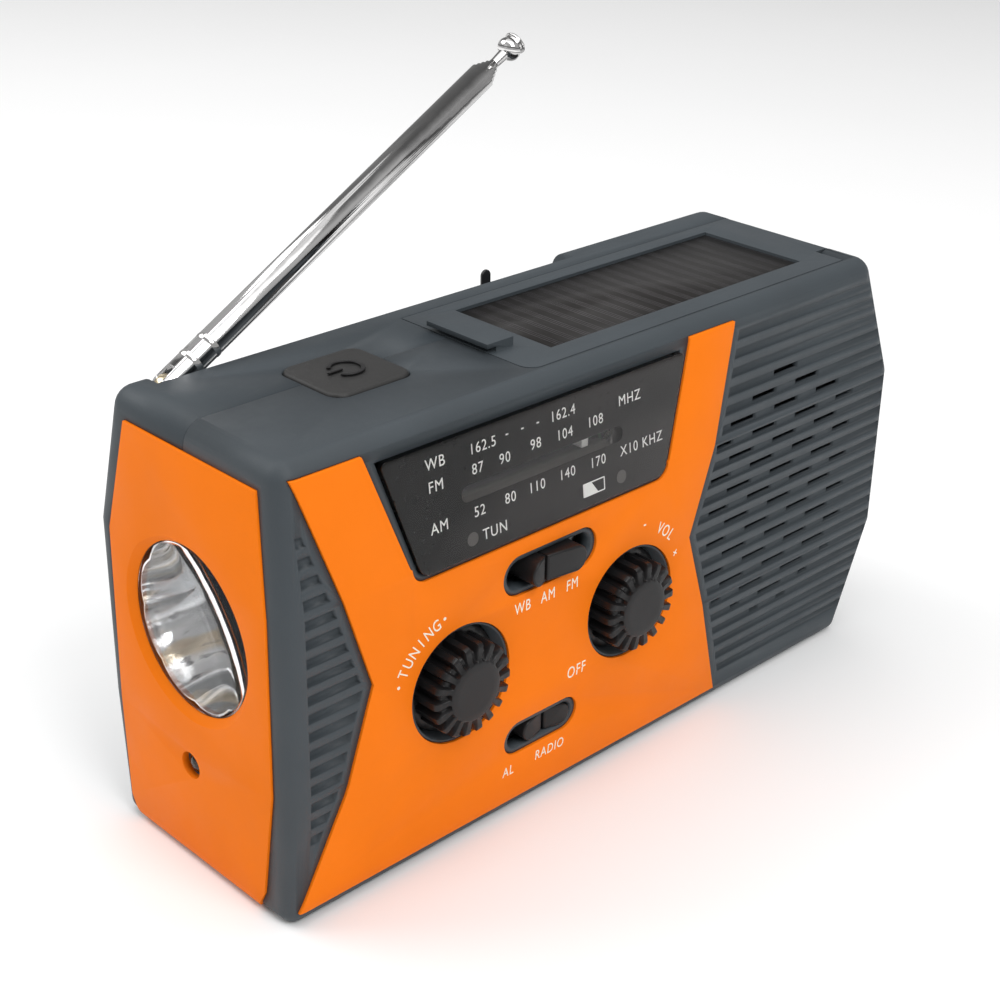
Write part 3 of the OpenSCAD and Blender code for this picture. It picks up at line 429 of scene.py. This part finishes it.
def rounded(points, radii, steps=8):
    """A closed outline with each corner rounded to its radius."""
    made = []
    count = len(points)
    for i, (point, r) in enumerate(zip(points, radii)):
        p = Vector(point)
        before = (Vector(points[i - 1]) - p).normalized()
        after = (Vector(points[(i + 1) % count]) - p).normalized()
        if r <= 0:
            made.append(p)
            continue
        half = before.angle(after) / 2
        start = p + before * (r / math.tan(half))
        end = p + after * (r / math.tan(half))
        centre = p + (before + after).normalized() * (r / math.sin(half))
        a0 = math.atan2(start.y - centre.y, start.x - centre.x)
        a1 = math.atan2(end.y - centre.y, end.x - centre.x)
        turn = (a1 - a0 + math.pi) % (2 * math.pi) - math.pi
        for k in range(steps + 1):
            a = a0 + turn * k / steps
            made.append(centre + Vector((math.cos(a), math.sin(a))) * r)
    return made


def rounded_box(w, h, r, x=0.0, y=0.0):
    corners = [(x - w / 2, y - h / 2), (x + w / 2, y - h / 2), (x + w / 2, y + h / 2), (x - w / 2, y + h / 2)]
    return rounded(corners, [r] * 4)


def obround(w, h, x=0.0, y=0.0):
    return rounded_box(w, h, h / 2 - 0.001, x, y)


def slab(name, outlines, low, high, edge, place):
    """A plate between two heights with rounded rims; outlines after the first are holes."""
    curve = bpy.data.curves.new(name, "CURVE")
    curve.dimensions = "2D"
    curve.fill_mode = "BOTH"
    curve.extrude = ((high - low) / 2 - edge) * MM
    curve.bevel_depth = edge * MM
    curve.bevel_resolution = 3
    curve.offset = -edge * MM
    for outline in outlines:
        spline = curve.splines.new("POLY")
        spline.points.add(len(outline) - 1)
        for point, at in zip(spline.points, outline):
            point.co = (at[0] * MM, at[1] * MM, 0, 1)
        spline.use_cyclic_u = True
    scratch = bpy.data.objects.new(name, curve)
    mesh = bpy.data.meshes.new_from_object(scratch)
    bpy.data.objects.remove(scratch)
    bpy.data.curves.remove(curve)
    scaled = place.copy()
    scaled.translation = scaled.translation * MM
    mesh.transform(scaled @ Matrix.Translation(Vector((0, 0, (low + high) / 2 * MM))))
    weld(mesh)
    mesh.name = name
    return link_mesh(name, mesh)


def weld(mesh):
    made = bmesh.new()
    made.from_mesh(mesh)
    bmesh.ops.remove_doubles(made, verts=made.verts, dist=2e-7)
    bmesh.ops.dissolve_degenerate(made, edges=made.edges, dist=1e-7)
    bmesh.ops.recalc_face_normals(made, faces=made.faces)
    made.to_mesh(mesh)
    made.free()


def join(name, objects):
    """Joins mesh objects that share one body and material into one piece."""
    made = bmesh.new()
    for obj in objects:
        made.from_mesh(obj.data)
    mesh = bpy.data.meshes.new(name)
    made.to_mesh(mesh)
    made.free()
    for obj in objects:
        data = obj.data
        bpy.data.objects.remove(obj)
        bpy.data.meshes.remove(data)
    return link_mesh(name, mesh)


def lettering(text, height, x, z, turn=0.0, squeeze=1.0, thick=0.04, spread=1.0):
    """Flat letters as a mesh object in millimetres-to-metres scale: x, z is the middle of the word."""
    curve = bpy.data.curves.new("letters", "FONT")
    curve.body = text
    curve.size = height / 0.72 * MM
    curve.space_character = spread
    curve.align_x = "CENTER"
    curve.align_y = "CENTER"
    curve.extrude = thick / 2 * MM
    curve.resolution_u = 4
    scratch = bpy.data.objects.new("letters", curve)
    mesh = bpy.data.meshes.new_from_object(scratch)
    bpy.data.objects.remove(scratch)
    bpy.data.curves.remove(curve)
    place = Matrix.Translation(Vector((x * MM, z * MM, 0))) @ Matrix.Rotation(turn, 4, "Z")
    mesh.transform(place @ Matrix.Diagonal((squeeze, 1, 1, 1)))
    weld(mesh)
    return link_mesh("letters", mesh, smooth=False)


def put(obj, place):
    """Moves a piece drawn flat in local X, Y to its place in the row frame."""
    scaled = place.copy()
    scaled.translation = scaled.translation * MM
    obj.data.transform(scaled)
    return obj


def lay_on(obj, target, lift):
    """Lays a piece drawn in X and Y (as height) on a node's front surface, lift in millimetres."""
    evaluated = target.evaluated_get(bpy.context.evaluated_depsgraph_get())
    for v in obj.data.vertices:
        hit, at, _, _ = evaluated.ray_cast(Vector((v.co.x, -0.06, v.co.y)), Vector((0, 1, 0)))
        y = at.y if hit else FRONT_Y * MM
        v.co = Vector((v.co.x, y - lift * MM - v.co.z, v.co.y))
    return obj


# ---------- carried-over CAD nodes ----------

def round_edges(obj, width):
    """Welds a node's flat facets together and rounds its sharp edges, by modifiers only."""
    welded = obj.modifiers.new("weld", "WELD")
    welded.merge_threshold = 0.002 * MM
    flat = obj.modifiers.new("flatten", "DECIMATE")
    flat.decimate_type = "DISSOLVE"
    flat.angle_limit = math.radians(0.6)
    bevel = obj.modifiers.new("round", "BEVEL")
    bevel.width = width * MM
    bevel.segments = 2
    bevel.limit_method = "ANGLE"
    bevel.angle_limit = math.radians(30)
    bevel.use_clamp_overlap = True
    bevel.harden_normals = False
    bevel.miter_outer = "MITER_ARC"


# How wide each node's sharp edges are rounded, in millimetres
EDGE_WIDTH = {
    "front_panel": 0.5, "end_panel": 0.6, "lid_frame": 0.5, "battery_door": 0.3, "port_flap": 0.4,
    "crank_arm": 0.8, "grip_yoke": 0.25, "crank_grip": 0.3, "antenna_swivel": 0.2, "antenna_clip": 0.15,
    "port_sockets": 0.2, "crank_shaft": 0.15,
}


def dress_nodes():
    for row in frame["record"]["subparts"]:
        node = NODES[row["node"]]
        key = NODE_MATERIAL.get(row["node"], SLOT_MATERIAL[row["material_slot"]])
        node.data.materials.clear()
        node.data.materials.append(MAT[key])
        node.data.polygons.foreach_set("use_smooth", [True] * len(node.data.polygons))
        if row["node"] in EDGE_WIDTH:
            round_edges(node, EDGE_WIDTH[row["node"]])
        else:
            welded = node.modifiers.new("weld", "WELD")
            welded.merge_threshold = 0.002 * MM


dress_nodes()


# ---------- knobs ----------

KNOB_TEETH = 18


def knob(name, x, body, node):
    """A toothed knob: flat face, square fingers round the rim, open valleys between them."""
    front = TUNING_LOW.y
    depth = TUNING_HIGH.y - front
    ridge = [(0, 0), (4, 0), (5.35, 0.0), (5.7, 0.15), (6.0, 0.42), (7.9, 0.50), (8.6, 0.62), (8.9, 0.95),
             (KNOB_R, 1.6), (KNOB_R, 3), (KNOB_R, SKIRT), (SKIRT_R - 0.3, SKIRT), (SKIRT_R, SKIRT + 0.3),
             (SKIRT_R, depth), (3.1, depth), (0, depth)]
    valley = [(0, 0), (4, 0), (5.35, 0.0), (5.7, 0.15), (5.85, 1.15), (6.9, 1.25), (7.2, 1.4), (7.4, 1.7),
              (7.5, 2.4), (7.6, 3.4), (7.7, SKIRT), (SKIRT_R - 0.3, SKIRT), (SKIRT_R, SKIRT + 0.3),
              (SKIRT_R, depth), (3.1, depth), (0, depth)]
    steps = KNOB_TEETH * 20
    vertices, faces = [], []
    place = facing_front(x, front, KNOB_Z)
    for (r1, h1), (r0, h0) in zip(ridge, valley):
        for k in range(steps):
            a = 2 * math.pi * k / steps
            wave = math.cos(a * KNOB_TEETH) * 5.5 + 0.6
            w = 0.5 + 0.5 * math.tanh(wave)
            r, h = r0 + (r1 - r0) * w, h0 + (h1 - h0) * w
            vertices.append(place @ Vector((r * math.cos(a), r * math.sin(a), -h)))
    for ring in range(len(ridge) - 1):
        for k in range(steps):
            n = (k + 1) % steps
            faces.append((ring * steps + k, (ring + 1) * steps + k, (ring + 1) * steps + n, ring * steps + n))
    return finish_piece(mesh_piece(name, vertices, faces, 50), body, "knob", [node])


knob("tuning_knob_ribbed", TUNING_X, "tuning", "tuning_knob")
knob("volume_knob_ribbed", VOLUME_X, "volume", "volume_knob")


# ---------- slide switches ----------

def slider(name, low, high, flange, groove_at, body, node):
    """A two-lobed switch cap: an obround block whose face sinks to a finger groove across it."""
    x = (low.x + high.x) / 2
    z = (low.z + high.z) / 2
    length = high.x - low.x - 0.4
    tall = high.z - low.z - 1
    stand = high.y - flange - low.y
    place = facing_front(x, low.y, z)
    groove = groove_at * length / 2
    lobes = []
    for inner, outer in ((groove - 0.3, -length / 2), (groove + 0.3, length / 2)):
        a, b = min(inner, outer), max(inner, outer)
        big, small = tall / 2 - 0.05, 0.3
        corners = [(a, -tall / 2), (b, -tall / 2), (b, tall / 2), (a, tall / 2)]
        radii = [small, big, big, small] if outer > inner else [big, small, small, big]
        lobe = slab("lobe", [rounded(corners, radii)], -stand, 0, 0.4, Matrix.Identity(4))
        sink_towards(lobe, inner, outer)
        put(lobe, place)
        lobes.append(lobe)
    bridge = slab("bridge", [rounded_box(2.4, tall * 0.9, 0.3, groove, 0)], -stand, -1.75, 0.15, place)
    base = slab("base", [rounded_box(high.x - low.x, high.z - low.z, 0.4)], -stand - flange, -stand, 0.1, place)
    return finish_piece(join(name, [*lobes, bridge, base]), body, "knob", [node])


def sink_towards(obj, inner, outer):
    """Slopes a flat lobe's face down to its inner end, for the thumb."""
    for v in obj.data.vertices:
        if v.co.z > -1.0 * MM:
            share = 1 - min(1.0, abs(v.co.x / MM - inner) / abs(outer - inner) / 0.75)
            v.co.z -= 1.1 * MM * max(0.0, share) ** 1.4


SLIDER_FLANGE = 1.4

slider("band_switch_slider", BAND_LOW, BAND_HIGH, SLIDER_FLANGE, -0.38, "band_switch", "band_switch_cap")
slider("alert_switch_slider", ALERT_LOW, ALERT_HIGH, SLIDER_FLANGE, 0.0, "alert_switch", "alert_switch_cap")


# ---------- torch ----------

def fluted(r, h, a):
    """The reflector's wall, pressed into shallow petals that fade towards the lamp."""
    share = max(0.0, min(1.0, (h / CUP_DEPTH)))
    return r * (1 - 0.055 * share * (1 - abs(math.cos(a * 4.5 + 0.4))))


CUP_DEPTH = CUP_HIGH.x - CUP_LOW.x
TORCH_Z = (TORCH_LOW.z + TORCH_HIGH.z) / 2
TORCH_R = (TORCH_HIGH.z - TORCH_LOW.z) / 2


def reflector():
    mouth = (CUP_HIGH.z - CUP_LOW.z) / 2 - 0.35
    inner = [(3.0 + (mouth - 3.0) * math.sqrt(k / 24), k / 24 * CUP_DEPTH) for k in range(25)]
    outer = [(r + 0.35, h) for r, h in reversed(inner)]
    piece = turned("reflector_bowl", [*inner, *outer, inner[0]], facing_left(CUP_HIGH.x, 0, TORCH_Z),
                   steps=216, radius=fluted, sharp=28)
    return finish_piece(piece, "case", "mirror", ["reflector"])


def torch_lens():
    thick = TORCH_HIGH.x - TORCH_LOW.x
    profile = [(0, 0), (TORCH_R - 0.2, 0), (TORCH_R, 0.2), (TORCH_R, thick * 0.55),
               (TORCH_R - 0.25, thick * 0.75), (TORCH_R * 0.7, thick * 0.9), (TORCH_R * 0.35, thick * 0.98),
               (0, thick)]
    piece = turned("torch_lens_domed", profile, facing_left(TORCH_HIGH.x, 0, TORCH_Z), steps=128, sharp=50)
    return finish_piece(piece, "case", "glass", ["torch_lens"])


def torch_lamp():
    _, high = box_mm("torch_led")
    base = high.x - 2
    dome = [(2.5 * math.cos(math.radians(k * 10)), 3 + 2.5 * math.sin(math.radians(k * 10))) for k in range(10)]
    profile = [(0, -2), (8, -2), (8, -0.4), (2.9, -0.4), (2.9, 0.4), (2.5, 0.5), *dome[:-1], (0, 5.5)]
    piece = turned("torch_lamp_bulb", profile, facing_left(base, 0, TORCH_Z), steps=64)
    return finish_piece(piece, "case", "led", ["torch_led"])


reflector()
torch_lens()
torch_lamp()


# ---------- power button ----------

def arc(radius, start, end, width, steps=28):
    """Outline of a ring segment with rounded ends, angles in degrees."""
    outer = [(math.radians(start + (end - start) * k / steps), radius + width / 2) for k in range(steps + 1)]
    inner = [(a, radius - width / 2) for a, _ in reversed(outer)]
    return [Vector((r * math.cos(a), r * math.sin(a))) for a, r in [*outer, *inner]]


def power_button():
    x = (BUTTON_LOW.x + BUTTON_HIGH.x) / 2
    y = (BUTTON_LOW.y + BUTTON_HIGH.y) / 2
    w = BUTTON_HIGH.x - BUTTON_LOW.x - 3
    d = BUTTON_HIGH.y - BUTTON_LOW.y - 3
    place = Matrix.Translation(Vector((x, y, 0)))
    symbol = Matrix.Rotation(math.radians(90), 4, "Z")
    top = BUTTON_HIGH.z - 0.1
    body = slab("cap", [rounded_box(w, d, 3)], BUTTON_LOW.z, top, 0.7, place)
    crown(body, x, y, w, d, 0.35)
    skirt = slab("skirt", [rounded_box(w + 3, d + 3, 3)], BUTTON_LOW.z + 1.6, BUTTON_LOW.z + 3, 0.2, place)
    finish_piece(join("power_button_cap", [body, skirt]), "button", "rubber", ["power_button"])
    ring = slab("ring", [arc(3.0, 125, 415, 0.75)], top + 0.05, top + 0.4, 0.12, place @ symbol)
    bar = slab("bar", [rounded_box(0.75, 3.2, 0.3, 0, 2.4)], top + 0.05, top + 0.4, 0.12, place @ symbol)
    finish_piece(join("power_symbol", [ring, bar]), "button", "knob")


def crown(obj, x, y, w, d, sink):
    """Lowers a cap's rim below its middle, so that the top is a shallow pillow."""
    made = bmesh.new()
    made.from_mesh(obj.data)
    top = max(v.co.z for v in made.verts)
    bmesh.ops.subdivide_edges(made, edges=made.edges, cuts=1)
    for v in made.verts:
        if v.co.z > top - 1.0 * MM:
            u = (v.co.x / MM - x) / (w / 2)
            s = (v.co.y / MM - y) / (d / 2)
            v.co.z -= sink * MM * min(1.0, max(abs(u), abs(s)) ** 3)
    made.to_mesh(obj.data)
    made.free()


power_button()


# ---------- dial ----------

DIAL_LOW = 59.7
DIAL_HIGH = 81.8
DIAL_HALF_LOW = 29.9
DIAL_HALF_HIGH = 36.8
DIAL_FRONT = 1.0
DIAL_BACK = -1.25
# Depths below the window's front face: of the black mask's two sides, the light spots, and the print
MASK_UNDER = 0.42
MASK_OVER = 0.22
SPOT_UNDER = 0.21
SPOT_OVER = 0.15
PRINT_DEPTH = 0.16


def dial_outline(shrink):
    low, high = DIAL_LOW + shrink, DIAL_HIGH - shrink
    a, b = DIAL_HALF_LOW - shrink, DIAL_HALF_HIGH - shrink
    corners = [(DIAL_X - a, low), (DIAL_X + a, low), (DIAL_X + b, high), (DIAL_X - b, high)]
    return rounded(corners, [2.6 - shrink * 0.5, 2.6 - shrink * 0.5, 0.9, 0.9])


def circle(x, y, r, steps=32):
    return [Vector((x + r * math.cos(2 * math.pi * k / steps), y + r * math.sin(2 * math.pi * k / steps)))
            for k in range(steps)]


SLOT_X = DIAL_X - 0.4
SLOT_Y = CREASE_HIGH + 10.6
LIGHT_Y = 62.9
LIGHTS_X = (-40.0, -3.2)


def dial():
    lens = slab("dial_window", [dial_outline(0)], DIAL_BACK, DIAL_FRONT, 0.3, FACET)
    finish_piece(lens, "case", "window", ["dial_lens"])
    slot = obround(39.4, 3.0, SLOT_X, SLOT_Y)
    mask = slab("dial_mask", [dial_outline(0.12), slot], DIAL_FRONT - MASK_UNDER, DIAL_FRONT - MASK_OVER,
                0.02, FACET)
    finish_piece(mask, "case", "print_black")
    spots = [slab("spot", [circle(x, LIGHT_Y, 1.25)], DIAL_FRONT - SPOT_UNDER, DIAL_FRONT - SPOT_OVER,
                  0.01, FACET) for x in LIGHTS_X]
    finish_piece(join("dial_light_spots", spots), "case", "dial_grey")


dial()

# Printed words and numbers: text, height, x, height up the dial
DIAL_PRINT = [
    ("WB", 2.05, -47.0, 78.7), ("FM", 2.05, -47.2, 74.7), ("AM", 2.05, -47.1, 67.4),
    ("162.5", 1.95, -36.3, 78.6), ("-   -   -", 2.0, -27.0, 79.2), ("162.4", 1.95, -17.2, 78.9),
    ("87", 1.95, -37.8, 75.0), ("90", 1.95, -31.5, 74.9), ("98", 1.95, -24.1, 75.3),
    ("104", 1.95, -17.0, 75.1), ("108", 1.95, -9.3, 75.3),
    ("52", 1.95, -38.0, 67.4), ("80", 1.95, -30.8, 67.5), ("110", 1.95, -24.4, 67.6),
    ("140", 1.95, -16.9, 67.7), ("170", 1.95, -9.1, 67.6),
    ("MHZ", 2.0, -0.3, 77.1), ("X10 KHZ", 2.0, 2.4, 67.6), ("TUN", 2.05, -34.8, 62.8),
]


def dial_print():
    words = [lettering(text, height, x, z, squeeze=0.92, thick=0.06, spread=1.14)
             for text, height, x, z in DIAL_PRINT]
    case = [rounded_box(5.6, 2.6, 0.2, -10.4, LIGHT_Y + 0.2), rounded_box(5.1, 2.1, 0.1, -10.4, LIGHT_Y + 0.2)]
    words.append(slab("cell", case, -0.03, 0.03, 0.01, Matrix.Identity(4)))
    fill = [Vector(p) for p in ((-13.0, LIGHT_Y - 0.9), (-9.4, LIGHT_Y - 0.9), (-11.0, LIGHT_Y + 1.3),
                                (-13.0, LIGHT_Y + 1.3))]
    words.append(slab("level", [fill], -0.03, 0.03, 0.01, Matrix.Identity(4)))
    piece = join("dial_print", words)
    put(piece, FACET @ Matrix.Translation(Vector((0, 0, DIAL_FRONT - PRINT_DEPTH))))
    finish_piece(piece, "case", "white_ink")


dial_print()


def pointer():
    """The pointer: a slim white flag seen through the dial slot, on its carriage."""
    low, high = box_mm("dial_pointer")
    x = (low.x + high.x) / 2
    z = (low.z + high.z) / 2
    flag = slab("flag", [rounded_box(1.7, 2.7, 0.2, 0, 0)], -4.6, 0, 0.12, facing_front(x, low.y, z))
    carriage = slab("carriage", [rounded_box(high.x - low.x, high.z - low.z, 0.4)],
                    low.y - high.y, low.y - high.y + 0.8, 0.15, facing_front(x, low.y, z))
    finish_piece(join("dial_pointer_flag", [flag, carriage]), "pointer", "white_ink",
                 ["dial_pointer"])


pointer()


# ---------- control lettering ----------

TUNING_ARC_R = 15.6
VOLUME_ARC_R = 15.0
NARROW = 0.75


def arc_words(text, radius, start, end, centre_x, centre_z, height):
    """Letters round a knob, one by one, from one angle to another."""
    made = []
    for k, letter in enumerate(text):
        a = math.radians(start + (end - start) * k / (len(text) - 1))
        made.append(lettering(letter, height, centre_x + radius * math.cos(a), centre_z + radius * math.sin(a),
                              turn=a - math.pi / 2, squeeze=NARROW))
    return made


def control_print():
    words = arc_words("TUNING", TUNING_ARC_R, 149, 112, TUNING_X, KNOB_Z - 0.7, 2.4)
    for a in (158.7, 105):
        x = TUNING_X + TUNING_ARC_R * math.cos(math.radians(a))
        z = KNOB_Z - 0.5 + TUNING_ARC_R * math.sin(math.radians(a))
        words.append(slab("mark", [circle(x, z, 0.32, 12)], -0.02, 0.02, 0.005, Matrix.Identity(4)))
    words += arc_words("VOL", VOLUME_ARC_R, 60, 45, VOLUME_X, KNOB_Z, 2.4)
    for text, x, z, height, turn in (
        ("-", 4.2, 50.8, 2.4, 0), ("+", 13.4, 41.3, 2.2, -30), ("OFF", -13.0, 26.0, 2.5, 0),
        ("WB", -27.6, 45.0, 2.3, 0), ("AM", -21.2, 45.0, 2.3, 0), ("FM", -15.0, 45.0, 2.3, 0),
        ("AL", -29.2, 10.2, 2.2, 0), ("RADIO", -18.4, 10.4, 2.2, 0),
    ):
        words.append(lettering(text, height, x, z, turn=math.radians(turn), squeeze=NARROW, spread=1.14))
    piece = join("control_print", words)
    lay_on(piece, NODES["front_panel"], 0.015)
    finish_piece(piece, "case", "cream_ink")


control_print()


# ---------- antenna ----------

PIVOT = (PIN_LOW + PIN_HIGH) / 2
BALL_R = 2.35
TIP = Vector((TIP_HIGH.x - BALL_R, PIVOT.y, TIP_HIGH.z - BALL_R))
MAST_AXIS = (TIP - PIVOT).normalized()
MAST = Matrix.Translation(PIVOT) @ MAST_AXIS.to_track_quat("Z", "X").to_matrix().to_4x4()
MAST_LEN = (TIP - PIVOT).length


def antenna_tip():
    """Neck, ball and the flat disc on its end."""
    neck = MAST_LEN - 4.4
    ball = [(BALL_R * math.sin(math.radians(a)), MAST_LEN - BALL_R * math.cos(math.radians(a)) * 0.82)
            for a in range(28, 128, 8)]
    profile = [(0, neck), (0.95, neck), *ball, (2.0, MAST_LEN + 1.55), (2.25, MAST_LEN + 1.6),
               (2.3, MAST_LEN + 1.85), (2.15, MAST_LEN + 2.1), (1.2, MAST_LEN + 2.3), (0, MAST_LEN + 2.34)]
    piece = turned("antenna_tip_ball", profile, MAST, steps=64, sharp=40)
    finish_piece(piece, "section_5", "tube", ["antenna_tip"])


def mast_rings():
    """Rolled rings that hold the mast's root, each a low band with soft shoulders."""
    rings = []
    for at in (6.2, 10.6):
        profile = [(2.55, at - 0.7), (2.66, at - 0.45), (2.70, at), (2.66, at + 0.45), (2.55, at + 0.7),
                   (2.55, at - 0.7)]
        rings.append(turned("ring", profile, MAST, steps=48))
    finish_piece(join("mast_rolled_rings", rings), "mast_root", "chrome")


antenna_tip()
mast_rings()


# ---------- light, floor and camera ----------

def area_light(name, at, to, size, power):
    light = bpy.data.lights.new(name, "AREA")
    light.shape = "RECTANGLE"
    light.size, light.size_y = size
    light.energy = power
    obj = bpy.data.objects.new(name, light)
    obj.location = Vector(at)
    obj.rotation_euler = (Vector(to) - Vector(at)).to_track_quat("-Z", "Y").to_euler()
    bpy.context.scene.collection.objects.link(obj)


def studio():
    world = bpy.data.worlds.new("studio")
    bpy.context.scene.world = world
    world.use_nodes = True
    world.node_tree.nodes["Background"].inputs["Color"].default_value = (1.0, 1.0, 1.0, 1)
    world.node_tree.nodes["Background"].inputs["Strength"].default_value = 0.38
    bpy.context.scene.view_settings.view_transform = "Standard"
    middle = (0, 0, 0.05)
    area_light("key_light", (-0.08, -0.78, 0.85), middle, (0.6, 0.45), 5.6)
    area_light("left_light", (-0.95, 0.05, 0.45), middle, (0.5, 0.6), 0.2)
    area_light("back_light", (-0.45, 0.65, 0.75), middle, (0.7, 0.5), 4.0)
    area_light("top_light", (0.05, 0.0, 1.1), middle, (1.2, 1.0), 6.8)
    mesh = bpy.data.meshes.new("floor")
    made = bmesh.new()
    bmesh.ops.create_grid(made, x_segments=2, y_segments=2, size=3.0)
    made.to_mesh(mesh)
    made.free()
    floor = bpy.data.objects.new("floor", mesh)
    bpy.context.scene.collection.objects.link(floor)
    t = Tree("floor_paper", (0.92, 0.92, 0.92), 0.8)
    t.join(t.mix(t.noise(6, 3), (0.91, 0.91, 0.91), (0.94, 0.94, 0.94)), t.shader, "Base Color")
    mesh.materials.append(t.material)


def camera():
    data = bpy.data.cameras.new("camera")
    data.sensor_width = 36
    data.lens = 66.05
    data.clip_start = 0.01
    data.clip_end = 20
    obj = bpy.data.objects.new("camera", data)
    right = Vector((0.7215, -0.6922, 0.0155))
    up = Vector((0.2953, 0.3279, 0.8974))
    back = Vector((-0.6263, -0.6429, 0.4410))
    rotation = Matrix((right, up, back)).transposed().to_4x4()
    obj.matrix_world = Matrix.Translation(Vector((-0.2285, -0.2271, 0.2054))) @ rotation
    bpy.context.scene.collection.objects.link(obj)
    bpy.context.scene.camera = obj


studio()
camera()
